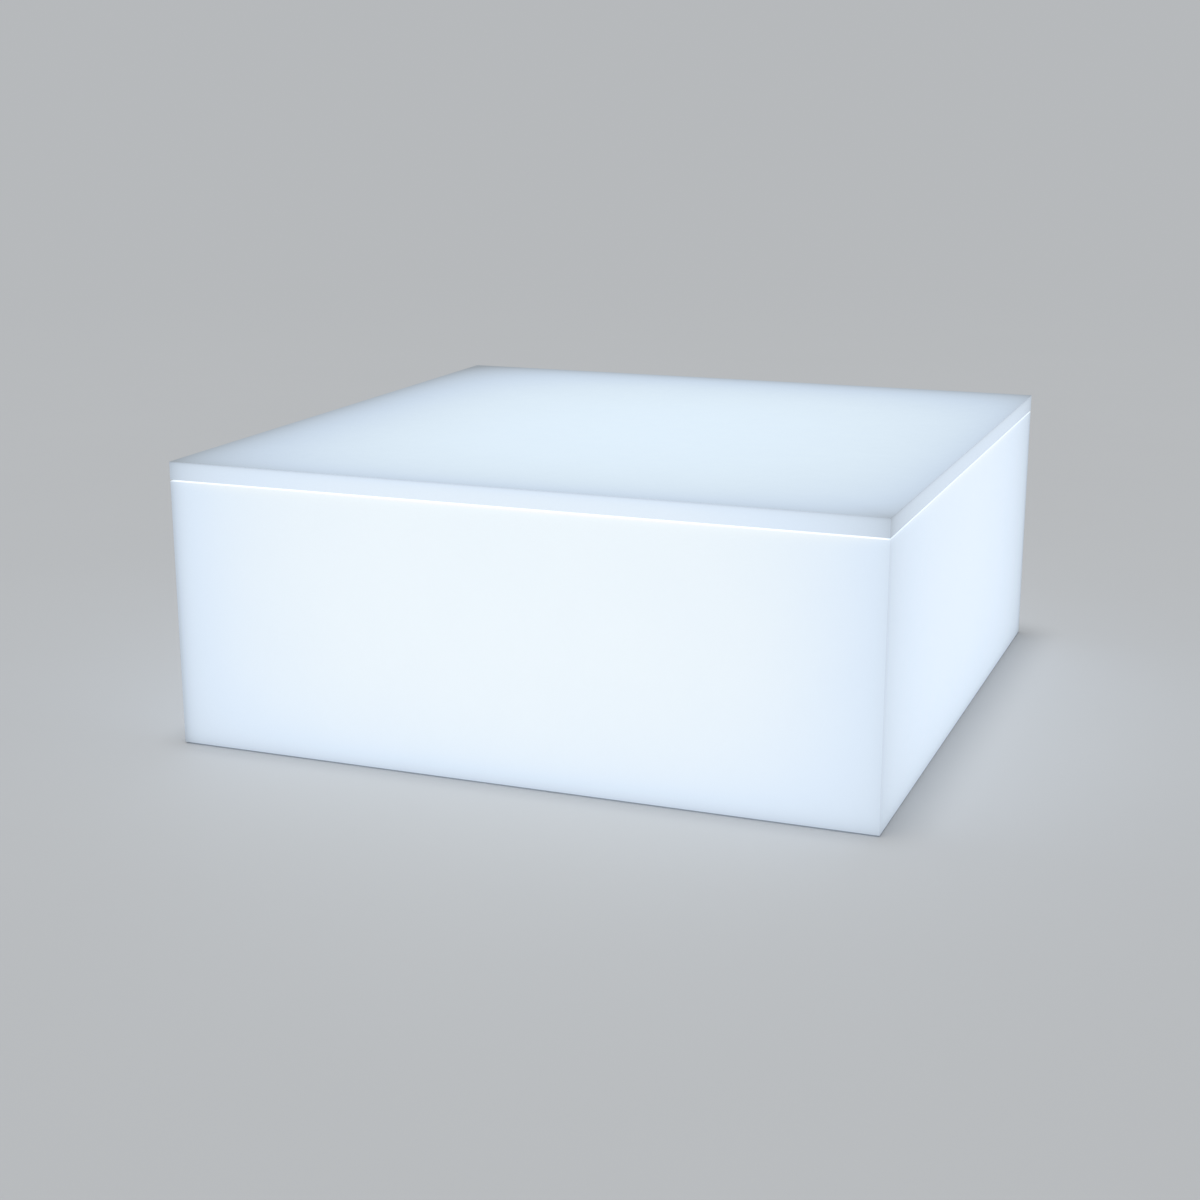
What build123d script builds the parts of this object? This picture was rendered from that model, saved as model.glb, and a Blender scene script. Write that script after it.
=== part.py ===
from build123d import *
import math
import os

# A square coffee table lit from inside: an opal acrylic box on rubber feet, with a lift-off lid.
# Millimetres, +Z up. The floor is z = 0, and the origin is on it, below the table's centre.
# The front faces -Y. The charging port and the power button sit low in the middle of the back.

# Overall size
table_width = 1000.0
table_depth = 1000.0
table_height = 404.0
edge_round = 0.6

# Opal acrylic walls, mitred at the corners
wall_thickness = 10.0
wall_floor_gap = 2.0

# Lid: a flat sheet with a skirt turned down at its edges, mitred to it
lid_height = 25.0
lid_sheet_thickness = 10.0
skirt_thickness = 10.0
lid_reveal = 2.0

# Clear strips bonded inside the walls, which carry the lid
rest_thickness = 8.0
rest_bond_height = 30.0
rest_clearance = 1.0

# Clear bars bonded in the corners and along the foot of the walls
corner_block_size = 15.0
rail_size = 15.0

# Base plate and the countersunk screws that pull it up to the rails
foot_height = 8.0
base_thickness = 6.0
base_clearance = 0.5
base_screw_count = 4
base_screw_margin = 120.0
base_screw_length = 16.0

# Rubber feet
foot_radius = 15.0
foot_taper = 2.0
foot_edge_round = 1.5
foot_inset = 80.0
foot_recess_radius = 5.5
foot_recess_depth = 4.0
foot_screw_bite = 4.5

# Screws
m3_radius = 1.5
m3_head_radius = 2.8
m3_head_height = 2.0
m4_radius = 2.0
m4_head_radius = 4.0
m4_head_height = 2.2
drive_width = 0.8
drive_depth = 1.2
thread_clearance = 0.15
inner_screw_length = 6.0
blind_hole_spare = 0.6

# LED bars
bar_count = 4
bar_width = 24.0
bar_thickness = 2.0
bar_wall_gap = 60.0
bar_screw_count = 4
bay_clearance = 12.0
lens_count = 9
lens_radius = 8.0
lens_rim = 1.2
lens_height = 5.6
lens_cavity_radius = 3.2
lens_cavity_height = 2.0
lens_terminal_gap = 4.0
chip_size = 3.5
chip_height = 0.8
terminal_length = 16.0
terminal_width = 16.0
terminal_height = 8.0
terminal_inset = 2.0

# Centre post, its socket and its cap
post_radius = 30.0
post_wall = 3.0
post_clearance = 0.3
socket_flange_radius = 50.0
socket_flange_thickness = 2.5
socket_collar_wall = 4.0
socket_collar_height = 20.0
post_screw_count = 4
cap_thickness = 3.0
cap_plug_length = 8.0

# Cases on the base plate
case_wall = 2.0
case_round = 3.0
case_inner_round = 0.5
case_spacing = 6.0
cover_thickness = 2.0
lip_thickness = 1.5
lip_height = 3.0
lip_clearance = 0.3
ear_size = 12.0
ear_thickness = 2.5

# Battery of round cells lying along X
cell_radius = 9.15
cell_length = 65.0
cell_edge_round = 0.8
cell_gap = 0.3
cell_columns = 3
cell_rows = 7
battery_ear_inset = 20.0

# Controller board and the parts on it
board_width = 110.0
board_depth = 70.0
board_thickness = 1.6
board_gap = 1.0
board_boss_radius = 3.5
board_boss_height = 4.0
board_boss_inset = 6.0
board_peg_radius = 1.2
board_peg_rise = 0.8
board_peg_clearance = 0.2
board_room = 18.0
capacitor_radius = 5.0
capacitor_height = 15.0
coil_radius = 9.0
coil_bore_radius = 4.0
coil_height = 8.0
driver_chip_size = 9.0
driver_chip_height = 1.6
heat_sink_width = 30.0
heat_sink_depth = 18.0
heat_sink_base = 2.0
heat_sink_height = 12.0
heat_sink_fins = 6
heat_sink_fin_thickness = 1.5
controller_ear_inset = 12.0

# Control window in the back panel and the plate behind it
window_width = 100.0
window_height = 40.0
window_round = 6.0
plate_thickness = 3.0
plate_border = 8.0
plate_rail_gap = 3.0
plate_screw_bite = 6.0

# Charging socket and push-button switch, both with a 12 mm panel thread
device_spacing = 44.0
device_radius = 6.0
device_hole_clearance = 0.15
device_flange_radius = 8.0
device_flange_thickness = 2.0
device_depth = 16.0
nut_across_flats = 15.0
nut_thickness = 3.0
socket_bore_radius = 3.0
socket_bore_depth = 9.5
socket_pin_radius = 1.25
socket_pin_setback = 1.5
button_radius = 4.2
button_clearance = 0.12
button_proud = 2.5
button_edge_round = 0.5
button_collar_radius = 4.8
button_collar_thickness = 1.5
button_collar_gap = 0.3
switch_bore_radius = 5.1
switch_bore_depth = 12.0
spring_radius = 3.6
spring_wire_radius = 0.3
spring_turns = 5
spring_end_gap = 0.15

# Port cover that hangs in front of the socket
cover_half_width = 10.0
cover_half_height = 10.5
port_cover_thickness = 2.0
port_cover_gap = 0.3
port_cover_round = 2.0
knuckle_radius = 2.2
knuckle_half_width = 7.7
knuckle_clearance = 0.3
pin_radius = 1.0
pin_running_clearance = 0.08
pin_ear_clearance = 0.03
pin_forward = 0.5
pin_rise = 4.0
pin_ear_radius = 2.5
pin_ear_width = 3.0
pin_ear_gap = 0.8
lip_proud = 1.4
lip_rise = 2.0

# Leads and their clips
lead_radius = 2.25
gland_wall = 2.0
gland_length = 4.0
battery_lead_space = 80.0
battery_lead_offset = 20.0
short_run = 22.0
device_run = 32.0
channel_run = 26.0
lead_pair_offset = 4.0
feed_outlet_x = 42.0
clip_length = 10.0
clip_wall = 1.5
clip_clearance = 0.15
clip_base_width = 18.0
clip_base_thickness = 2.0
feed_clip_distance = 20.0

# Heights worked out from the sizes above
half_width = table_width / 2
half_depth = table_depth / 2
inner_half_width = half_width - wall_thickness
inner_half_depth = half_depth - wall_thickness
base_top = foot_height + base_thickness
rail_top = base_top + rail_size
skirt_bottom = table_height - lid_height
wall_top = skirt_bottom - lid_reveal
lid_underside = table_height - lid_sheet_thickness
rest_bottom = wall_top - rest_bond_height
bar_top = base_top + bar_thickness
lead_z = bar_top + terminal_height / 2
mitre_reach = wall_thickness + skirt_thickness + rail_size + rest_thickness
thread_hole = m3_radius + thread_clearance

# Battery and controller, one behind the other in the middle bay
battery_half_x = (cell_columns * cell_length + (cell_columns + 1) * cell_gap) / 2 + case_wall
battery_inner_y = cell_rows * 2 * cell_radius + (cell_rows + 1) * cell_gap
battery_height = case_wall + 2 * cell_gap + 2 * cell_radius + lip_height
battery_front = socket_flange_radius + case_spacing + ear_size
battery_back = battery_front + battery_inner_y + 2 * case_wall
controller_half_x = board_width / 2 + board_gap + case_wall
controller_front = battery_back + battery_lead_space
controller_back = controller_front + board_depth + 2 * (board_gap + case_wall)
controller_height = case_wall + board_boss_height + board_thickness + board_room + lip_height
board_bottom = base_top + case_wall + board_boss_height
board_top = board_bottom + board_thickness
board_centre_y = (controller_front + controller_back) / 2

# LED bars, evenly spaced across the table
inner_bar_x = battery_half_x + bay_clearance + bar_width / 2
bar_half_length = inner_half_depth - bar_wall_gap
terminal_back = bar_half_length - terminal_inset
lens_end_margin = terminal_inset + terminal_length + lens_terminal_gap + lens_radius
lens_pitch = 2 * (bar_half_length - lens_end_margin) / (lens_count - 1)
channel_y = terminal_back + channel_run

# Control plate and the devices in it
plate_front = half_depth - wall_thickness
plate_back = plate_front - plate_thickness
plate_half_width = window_width / 2 + plate_border
plate_half_height = window_height / 2 + plate_border
control_z = rail_top + plate_rail_gap + plate_half_height
port_x = -device_spacing / 2
switch_x = device_spacing / 2
flange_front = plate_front + device_flange_thickness
device_rear = plate_front - device_depth
collar_front = plate_front - button_collar_gap
collar_rear = collar_front - button_collar_thickness
cover_inner_y = flange_front + port_cover_gap
cover_outer_y = cover_inner_y + port_cover_thickness
pin_y = cover_inner_y + pin_forward
pin_z = control_z + device_flange_radius + pin_rise
ear_inner = knuckle_half_width + knuckle_clearance
ear_outer = ear_inner + pin_ear_width

SIDES = {"front": -90, "right": 0, "back": 90, "left": 180}
CORNERS = {"front_left": (-1, -1), "front_right": (1, -1), "back_left": (-1, 1), "back_right": (1, 1)}


# Plain shapes

def block(x_low, x_high, y_low, y_high, z_low, z_high):
    """Box between two corners."""
    centre = Pos((x_low + x_high) / 2, (y_low + y_high) / 2, (z_low + z_high) / 2)
    return centre * Box(x_high - x_low, y_high - y_low, z_high - z_low)


def z_cylinder(radius, x, y, bottom, top):
    """Upright cylinder."""
    return Pos(x, y, (bottom + top) / 2) * Cylinder(radius, top - bottom)


def z_extrude(sketch, x, y, bottom, top):
    """Upright prism on a flat outline."""
    return Pos(x, y, bottom) * extrude(sketch, amount=top - bottom)


def y_extrude(sketch, x, y_low, y_high, z):
    """Prism along Y, drawn with X to the right and Z up."""
    plane = Plane(origin=(x, y_high, z), x_dir=(1, 0, 0), z_dir=(0, -1, 0))
    return extrude(plane * sketch, amount=y_high - y_low)


def y_cylinder(radius, x, y_low, y_high, z):
    """Cylinder along Y."""
    return y_extrude(Circle(radius), x, y_low, y_high, z)


def x_cylinder(radius, x_low, x_high, y, z):
    """Cylinder along X."""
    return Pos((x_low + x_high) / 2, y, z) * Rot(0, 90, 0) * Cylinder(radius, x_high - x_low)


def group(shapes):
    """Separate solids kept together in one node."""
    return Compound([solid for shape in shapes for solid in shape.solids()])


# Mitred rings: walls, rails, lid rests and lid skirts are each cut from one

def ring(half_x, half_y, thickness, bottom, top, corner_round=0.0):
    """Rectangular ring, measured inwards from its outer faces."""
    outer = block(-half_x, half_x, -half_y, half_y, bottom, top)
    if corner_round:
        outer = fillet(outer.edges().filter_by(Axis.Z), corner_round)
    inner_x = half_x - thickness
    inner_y = half_y - thickness
    return outer - block(-inner_x, inner_x, -inner_y, inner_y, bottom, top)


def side_prism(side):
    """Space behind one side of the table, between the 45 degree mitre planes at its corners."""
    across = side in ("front", "back")
    half_length = half_width if across else half_depth
    distance = half_depth if across else half_width
    outer = half_length + wall_thickness
    inner = half_length - mitre_reach
    outline = Polygon(
        (wall_thickness, -outer),
        (wall_thickness, outer),
        (-mitre_reach, inner),
        (-mitre_reach, -inner),
        align=None,
    )
    return Rot(0, 0, SIDES[side]) * Pos(distance, 0, 0) * extrude(outline, amount=table_height)


# Screws. Each stands on its seat at z = 0, with its head above and its shank below.

def cross_drive(reach, top):
    """Cross-shaped driver recess in a screw head."""
    bottom = top - drive_depth
    half = drive_width / 2
    return block(-reach, reach, -half, half, bottom, top) + block(-half, half, -reach, reach, bottom, top)


def pan_screw(radius, length, head_radius, head_height):
    """Pan-head screw."""
    head = z_cylinder(head_radius, 0, 0, 0, head_height)
    head = fillet(head.edges().group_by(Axis.Z)[-1], head_height / 2)
    screw = head + z_cylinder(radius, 0, 0, -length, 0)
    return screw - cross_drive(radius, head_height)


def countersunk_blank(radius, length, head_radius, head_height, clearance):
    """Countersunk screw without its recess, or the hole for it when given a clearance."""
    cone = Pos(0, 0, -head_height / 2) * Cone(radius + clearance, head_radius + clearance, head_height)
    return cone + z_cylinder(radius + clearance, 0, 0, -length, 0)


def countersunk_screw(radius, length, head_radius, head_height):
    """Countersunk screw, its flat head flush with z = 0."""
    return countersunk_blank(radius, length, head_radius, head_height, 0.0) - cross_drive(radius, 0)


# Walls and what stiffens them

def wall_panel(side):
    """One opal wall, mitred at both ends."""
    walls = ring(half_width, half_depth, wall_thickness, wall_floor_gap, wall_top, edge_round)
    panel = walls & side_prism(side)
    if side == "back":
        panel -= control_window()
        panel -= group(place_plate_screws(z_cylinder(thread_hole, 0, 0, -hole_depth_in_panel(), 0)))
    return panel


def control_window():
    """Window through the back wall."""
    outline = RectangleRounded(window_width, window_height, window_round)
    return y_extrude(outline, 0, plate_front, half_depth, control_z)


def hole_depth_in_panel():
    """Depth of a plate screw's hole, measured from the screw's seat on the plate."""
    return plate_thickness + plate_screw_bite + blind_hole_spare


def corner_block(sign_x, sign_y):
    """Clear bar bonded into one corner, between the rails and the lid rests."""
    x = sign_x * (inner_half_width - corner_block_size / 2)
    y = sign_y * (inner_half_depth - corner_block_size / 2)
    height = rest_bottom - rail_top
    return Pos(x, y, rail_top + height / 2) * Box(corner_block_size, corner_block_size, height)


def base_rail(side):
    """Clear bar along the foot of one wall, drilled for the base screws."""
    rails = ring(inner_half_width, inner_half_depth, rail_size, base_top, rail_top)
    rail = rails & side_prism(side)
    for x, y in base_screw_places(side):
        rail -= z_cylinder(m4_radius + thread_clearance, x, y, base_top, base_screw_tip() + blind_hole_spare)
    return rail


def lid_rest(side):
    """Clear strip that carries the lid. Above the wall it stands back from the lid's skirt."""
    inner_x = inner_half_width - rest_thickness
    inner_y = inner_half_depth - rest_thickness
    top_x = min(inner_half_width, half_width - skirt_thickness - rest_clearance)
    top_y = min(inner_half_depth, half_depth - skirt_thickness - rest_clearance)
    lower = block(-inner_half_width, inner_half_width, -inner_half_depth, inner_half_depth, rest_bottom, wall_top)
    upper = block(-top_x, top_x, -top_y, top_y, wall_top, lid_underside)
    hollow = block(-inner_x, inner_x, -inner_y, inner_y, rest_bottom, lid_underside)
    return (lower + upper - hollow) & side_prism(side)


# Lid

def lid_blank():
    """The lid's outer shape, with its edges eased."""
    blank = block(-half_width, half_width, -half_depth, half_depth, skirt_bottom, table_height)
    edges = blank.edges().filter_by(Axis.Z) + blank.edges().group_by(Axis.Z)[-1]
    return fillet(edges, edge_round)


def sheet_wedge():
    """The lid's sheet, widening upwards along its mitred edges."""
    lower = Plane.XY.offset(lid_underside) * Rectangle(
        table_width - 2 * skirt_thickness, table_depth - 2 * skirt_thickness
    )
    upper = Plane.XY.offset(table_height) * Rectangle(table_width, table_depth)
    return loft([lower, upper], ruled=True)


def lid_panel():
    """The lid's flat sheet."""
    return lid_blank() & sheet_wedge()


def lid_skirt(side):
    """One downturned edge of the lid."""
    inner_x = half_width - skirt_thickness
    inner_y = half_depth - skirt_thickness
    hollow = block(-inner_x, inner_x, -inner_y, inner_y, skirt_bottom, lid_underside)
    return (lid_blank() - sheet_wedge() - hollow) & side_prism(side)


# Base plate, its screws and the feet

def base_screw_tip():
    """Height that a base screw's point reaches."""
    return foot_height + base_screw_length


def base_screw_places(side):
    """Screw centres along one rail."""
    across = side in ("front", "back")
    reach = (inner_half_width if across else inner_half_depth) - base_screw_margin
    inset_x = inner_half_width - rail_size / 2
    inset_y = inner_half_depth - rail_size / 2
    steps = [reach * (2 * i / (base_screw_count - 1) - 1) for i in range(base_screw_count)]
    sign = 1 if side in ("back", "right") else -1
    if across:
        return [(step, sign * inset_y) for step in steps]
    return [(sign * inset_x, step) for step in steps]


def all_base_screw_places():
    """Screw centres along all four rails."""
    return [place for side in SIDES for place in base_screw_places(side)]


def foot_places():
    """Centres of the four corner feet and the one under the centre post."""
    x = half_width - foot_inset
    y = half_depth - foot_inset
    return [(sx * x, sy * y) for sx, sy in CORNERS.values()] + [(0, 0)]


def foot_screw_length():
    """Length of a foot's screw, from its seat in the foot up into the base plate."""
    return foot_height - foot_recess_depth + foot_screw_bite


def base_plate():
    """White plate that closes the box from below and carries everything inside."""
    plate = block(
        -inner_half_width + base_clearance, inner_half_width - base_clearance,
        -inner_half_depth + base_clearance, inner_half_depth - base_clearance,
        foot_height, base_top,
    )
    sunk_hole = countersunk_blank(m4_radius, base_thickness, m4_head_radius, m4_head_height, thread_clearance)
    foot_hole_top = foot_height + foot_screw_bite + blind_hole_spare
    holes = [Pos(x, y, foot_height) * Rot(180, 0, 0) * sunk_hole for x, y in all_base_screw_places()]
    for x, y in foot_places():
        holes.append(z_cylinder(m4_radius + thread_clearance, x, y, foot_height, foot_hole_top))
    for x, y, seat in inner_screw_seats():
        bottom = seat - inner_screw_length - blind_hole_spare
        holes.append(z_cylinder(thread_hole, x, y, bottom, base_top))
    return plate - holes


def base_screws():
    """Countersunk screws from below, through the base plate into the rails."""
    screw = countersunk_screw(m4_radius, base_screw_length, m4_head_radius, m4_head_height)
    return group([Pos(x, y, foot_height) * Rot(180, 0, 0) * screw for x, y in all_base_screw_places()])


def rubber_feet():
    """Tapered rubber feet, each with a recess for its screw."""
    body = Pos(0, 0, foot_height / 2) * Cone(foot_radius - foot_taper, foot_radius, foot_height)
    body = fillet(body.edges().group_by(Axis.Z)[0], foot_edge_round)
    body -= z_cylinder(foot_recess_radius, 0, 0, 0, foot_recess_depth)
    body -= z_cylinder(m4_radius + thread_clearance, 0, 0, 0, foot_height)
    return group([Pos(x, y, 0) * body for x, y in foot_places()])


def foot_screws():
    """Screws that hold the feet."""
    screw = pan_screw(m4_radius, foot_screw_length(), m4_head_radius, m4_head_height)
    return group([Pos(x, y, foot_recess_depth) * Rot(180, 0, 0) * screw for x, y in foot_places()])


# LED bars

def bar_x(index):
    """Middle of one bar: the bars are evenly spaced about the table's centre line."""
    return inner_bar_x * (2 * index - (bar_count - 1))


def lens_y(index):
    """Middle of one lens along its bar."""
    return lens_end_margin - bar_half_length + lens_pitch * index


def bar_screw_ys():
    """Screws of one bar, each midway between two lenses."""
    gaps = lens_count - 1
    chosen = [round(i * (gaps - 1) / (bar_screw_count - 1)) for i in range(bar_screw_count)]
    return [lens_y(gap) + lens_pitch / 2 for gap in chosen]


def led_bar(index):
    """Aluminium circuit board that carries one row of LEDs."""
    half = bar_width / 2
    bar = block(-half, half, -bar_half_length, bar_half_length, base_top, bar_top)
    holes = [z_cylinder(thread_hole, 0, y, base_top, bar_top) for y in bar_screw_ys()]
    return Pos(bar_x(index), 0, 0) * (bar - holes)


def on_each_lens_place(shape):
    """The shape, repeated on every LED."""
    return group([Pos(bar_x(i), lens_y(j), 0) * shape for i in range(bar_count) for j in range(lens_count)])


def led_chips():
    """The LEDs themselves."""
    half = chip_size / 2
    return on_each_lens_place(block(-half, half, -half, half, bar_top, bar_top + chip_height))


def led_lenses():
    """Domes that spread the light sideways, each hollow over its LED."""
    shoulder = lens_radius - lens_rim
    rise = lens_height - lens_rim
    cap_radius = (shoulder ** 2 + rise ** 2) / (2 * rise)
    centre_z = lens_height - cap_radius
    halfway = math.atan2(shoulder, cap_radius - rise) / 2
    middle = (cap_radius * math.sin(halfway), centre_z + cap_radius * math.cos(halfway))
    dome = ThreePointArc((shoulder, lens_rim), middle, (0, lens_height))
    outline = Polyline(
        (0, lens_height), (0, lens_cavity_height), (lens_cavity_radius, lens_cavity_height),
        (lens_cavity_radius, 0), (lens_radius, 0), (lens_radius, lens_rim), (shoulder, lens_rim),
    )
    profile = Plane.XZ * make_face([dome, outline])
    return on_each_lens_place(Pos(0, 0, bar_top) * revolve(profile, Axis.Z))


def bar_terminals():
    """Lead terminals at the back end of each bar."""
    half = terminal_width / 2
    front = terminal_back - terminal_length
    body = block(-half, half, front, terminal_back, bar_top, bar_top + terminal_height)
    return group([Pos(bar_x(i), 0, 0) * body for i in range(bar_count)])


# Centre post

def collar_outer_radius():
    """Outside of the socket's collar, which holds the post with a small clearance."""
    return post_radius + post_clearance + socket_collar_wall


def centre_post():
    """Clear tube between its socket and its cap, which carries the middle of the lid."""
    bottom = base_top + socket_flange_thickness
    top = lid_underside - cap_thickness
    return z_cylinder(post_radius, 0, 0, bottom, top) - z_cylinder(post_radius - post_wall, 0, 0, bottom, top)


def post_socket():
    """Flanged collar on the base plate."""
    floor = base_top + socket_flange_thickness
    collar_top = floor + socket_collar_height
    socket = z_cylinder(socket_flange_radius, 0, 0, base_top, floor)
    socket += z_cylinder(collar_outer_radius(), 0, 0, floor, collar_top)
    socket -= z_cylinder(post_radius + post_clearance, 0, 0, floor, collar_top)
    return socket - [z_cylinder(thread_hole, x, y, base_top, floor) for x, y in post_screw_places()]


def post_screw_places():
    """Screws round the socket's flange."""
    radius = (socket_flange_radius + collar_outer_radius()) / 2
    turns = [2 * math.pi * (i + 0.5) / post_screw_count for i in range(post_screw_count)]
    return [(radius * math.cos(turn), radius * math.sin(turn)) for turn in turns]


def post_cap():
    """Silicone cap that plugs the post and pads the lid."""
    seat = lid_underside - cap_thickness
    plug_radius = post_radius - post_wall - post_clearance
    return z_cylinder(post_radius, 0, 0, seat, lid_underside) + z_cylinder(
        plug_radius, 0, 0, seat - cap_plug_length, seat
    )


# Cases: an open tray with ears and glands, and a cover with a lip inside the tray

def tray(half_x, front, back, height):
    """Open tray standing on the base plate."""
    middle = (front + back) / 2
    depth = back - front
    outer = RectangleRounded(2 * half_x, depth, case_round)
    inner = RectangleRounded(2 * (half_x - case_wall), depth - 2 * case_wall, case_inner_round)
    body = z_extrude(outer, 0, middle, base_top, base_top + height)
    return body - z_extrude(inner, 0, middle, base_top + case_wall, base_top + height)


def tray_cover(half_x, front, back, height):
    """Cover that sits on the tray's walls."""
    middle = (front + back) / 2
    depth = back - front
    seat = base_top + height
    inset = case_wall + lip_clearance
    lip_outer = Rectangle(2 * (half_x - inset), depth - 2 * inset)
    inset += lip_thickness
    lip_inner = Rectangle(2 * (half_x - inset), depth - 2 * inset)
    plate = z_extrude(RectangleRounded(2 * half_x, depth, case_round), 0, middle, seat, seat + cover_thickness)
    return plate + z_extrude(lip_outer - lip_inner, 0, middle, seat - lip_height, seat)


def ear(x, y, out_x, out_y):
    """Screw ear at the foot of a tray. Its hole is at (x, y) and its root is in the tray's wall."""
    width = ear_size + abs(out_x) * case_wall
    depth = ear_size + abs(out_y) * case_wall
    middle = Pos(x - out_x * case_wall / 2, y - out_y * case_wall / 2, base_top + ear_thickness / 2)
    plate = middle * Box(width, depth, ear_thickness)
    return plate - z_cylinder(thread_hole, x, y, base_top, base_top + ear_thickness)


def gland(x, wall_y, outward):
    """Boss on a tray's wall where a lead meets it."""
    y_inner = wall_y - outward * case_wall / 2
    y_outer = wall_y + outward * gland_length
    return y_cylinder(lead_radius + gland_wall, x, min(y_inner, y_outer), max(y_inner, y_outer), lead_z)


def battery_ears():
    """Ear places of the battery's tray: centre and outward direction."""
    x = battery_half_x - battery_ear_inset
    front = battery_front - ear_size / 2
    back = battery_back + ear_size / 2
    return [(-x, front, 0, -1), (x, front, 0, -1), (-x, back, 0, 1), (x, back, 0, 1)]


def controller_ears():
    """Ear places of the controller's tray: centre and outward direction."""
    x = controller_half_x + ear_size / 2
    front = controller_front + controller_ear_inset
    back = controller_back - controller_ear_inset
    return [(-x, front, -1, 0), (-x, back, -1, 0), (x, front, 1, 0), (x, back, 1, 0)]


def inner_screw_seats():
    """Every pan-head screw into the base plate: its place and the height of its seat."""
    seats = [(bar_x(i), y, bar_top) for i in range(bar_count) for y in bar_screw_ys()]
    seats += [(x, y, base_top + socket_flange_thickness) for x, y in post_screw_places()]
    seats += [(x, y, base_top + ear_thickness) for x, y, _, _ in battery_ears() + controller_ears()]
    return seats


def inner_screws():
    """Pan-head screws that hold the bars, the post's socket and the cases."""
    screw = pan_screw(m3_radius, inner_screw_length, m3_head_radius, m3_head_height)
    return group([Pos(x, y, seat) * screw for x, y, seat in inner_screw_seats()])


# Battery

def battery_case():
    """Tray that holds the cells."""
    body = tray(battery_half_x, battery_front, battery_back, battery_height)
    for place in battery_ears():
        body += ear(*place)
    return body + gland(-battery_lead_offset, battery_back, 1)


def battery_cover():
    """Cover of the battery."""
    return tray_cover(battery_half_x, battery_front, battery_back, battery_height)


def battery_cells():
    """Round cells lying along X, in columns end to end and rows side by side."""
    cell = Rot(0, 90, 0) * Cylinder(cell_radius, cell_length)
    cell = fillet(cell.edges().filter_by(GeomType.CIRCLE), cell_edge_round)
    z = base_top + case_wall + cell_gap + cell_radius
    first_y = battery_front + case_wall + cell_gap + cell_radius
    cells = []
    for column in range(cell_columns):
        x = (column - (cell_columns - 1) / 2) * (cell_length + cell_gap)
        for row in range(cell_rows):
            cells.append(Pos(x, first_y + row * (2 * cell_radius + cell_gap), z) * cell)
    return group(cells)


# Controller

def board_pegs():
    """Centres of the four pegs that hold the board."""
    x = board_width / 2 - board_boss_inset
    y = board_depth / 2 - board_boss_inset
    return [(sx * x, board_centre_y + sy * y) for sx, sy in CORNERS.values()]


def controller_case():
    """Tray that holds the board on four pegged bosses."""
    body = tray(controller_half_x, controller_front, controller_back, controller_height)
    for place in controller_ears():
        body += ear(*place)
    for x, y in board_pegs():
        body += z_cylinder(board_boss_radius, x, y, base_top + case_wall / 2, board_bottom)
        body += z_cylinder(board_peg_radius, x, y, board_bottom, board_top + board_peg_rise)
    body += gland(battery_lead_offset, controller_front, -1)
    for x in (-feed_outlet_x, port_x, switch_x, feed_outlet_x):
        body += gland(x, controller_back, 1)
    return body


def controller_cover():
    """Cover of the controller."""
    return tray_cover(controller_half_x, controller_front, controller_back, controller_height)


def controller_board():
    """Circuit board that charges the battery and drives the bars."""
    half_x = board_width / 2
    half_y = board_depth / 2
    board = block(
        -half_x, half_x, board_centre_y - half_y, board_centre_y + half_y, board_bottom, board_top
    )
    hole_radius = board_peg_radius + board_peg_clearance
    return board - [z_cylinder(hole_radius, x, y, board_bottom, board_top) for x, y in board_pegs()]


def board_parts():
    """Capacitors, coils, chips and the finned heat sink on the board."""
    y = board_centre_y
    cap_step = 2 * capacitor_radius + board_gap
    cap_x = -board_width / 2 + board_boss_inset + board_boss_radius + cap_step
    parts = []
    for row in (-1, 0, 1):
        can = z_cylinder(capacitor_radius, cap_x, y + row * cap_step, board_top, board_top + capacitor_height)
        parts.append(fillet(can.edges().group_by(Axis.Z)[-1], board_gap / 2))
    coil_x = cap_x + capacitor_radius + coil_radius + board_gap
    for side in (-1, 1):
        coil_y = y + side * (coil_radius + board_gap)
        coil = z_cylinder(coil_radius, coil_x, coil_y, board_top, board_top + coil_height)
        parts.append(coil - z_cylinder(coil_bore_radius, coil_x, coil_y, board_top, board_top + coil_height))
    chip_x = coil_x + coil_radius + driver_chip_size
    for side in (-1, 1):
        chip_y = y + side * driver_chip_size
        half = driver_chip_size / 2
        parts.append(
            block(chip_x - half, chip_x + half, chip_y - half, chip_y + half,
                  board_top, board_top + driver_chip_height)
        )
    parts.append(Pos(chip_x + driver_chip_size + heat_sink_width / 2, y, board_top) * heat_sink())
    return group(parts)


def heat_sink():
    """Finned block, centred on its own foot."""
    half_x = heat_sink_width / 2
    half_y = heat_sink_depth / 2
    sink = block(-half_x, half_x, -half_y, half_y, 0, heat_sink_base)
    pitch = (heat_sink_width - heat_sink_fin_thickness) / (heat_sink_fins - 1)
    for i in range(heat_sink_fins):
        x = -half_x + i * pitch
        sink += block(x, x + heat_sink_fin_thickness, -half_y, half_y, 0, heat_sink_height)
    return sink


# Control plate and the devices in it

def place_plate_screws(shape):
    """A shape that stands along Z, turned to drive towards +Y from the back of the control plate."""
    x = (window_width + plate_border) / 2
    z = (window_height + plate_border) / 2
    turned = Rot(90, 0, 0) * shape
    return [Pos(sx * x, plate_back, control_z + sz * z) * turned for sx, sz in CORNERS.values()]


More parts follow.
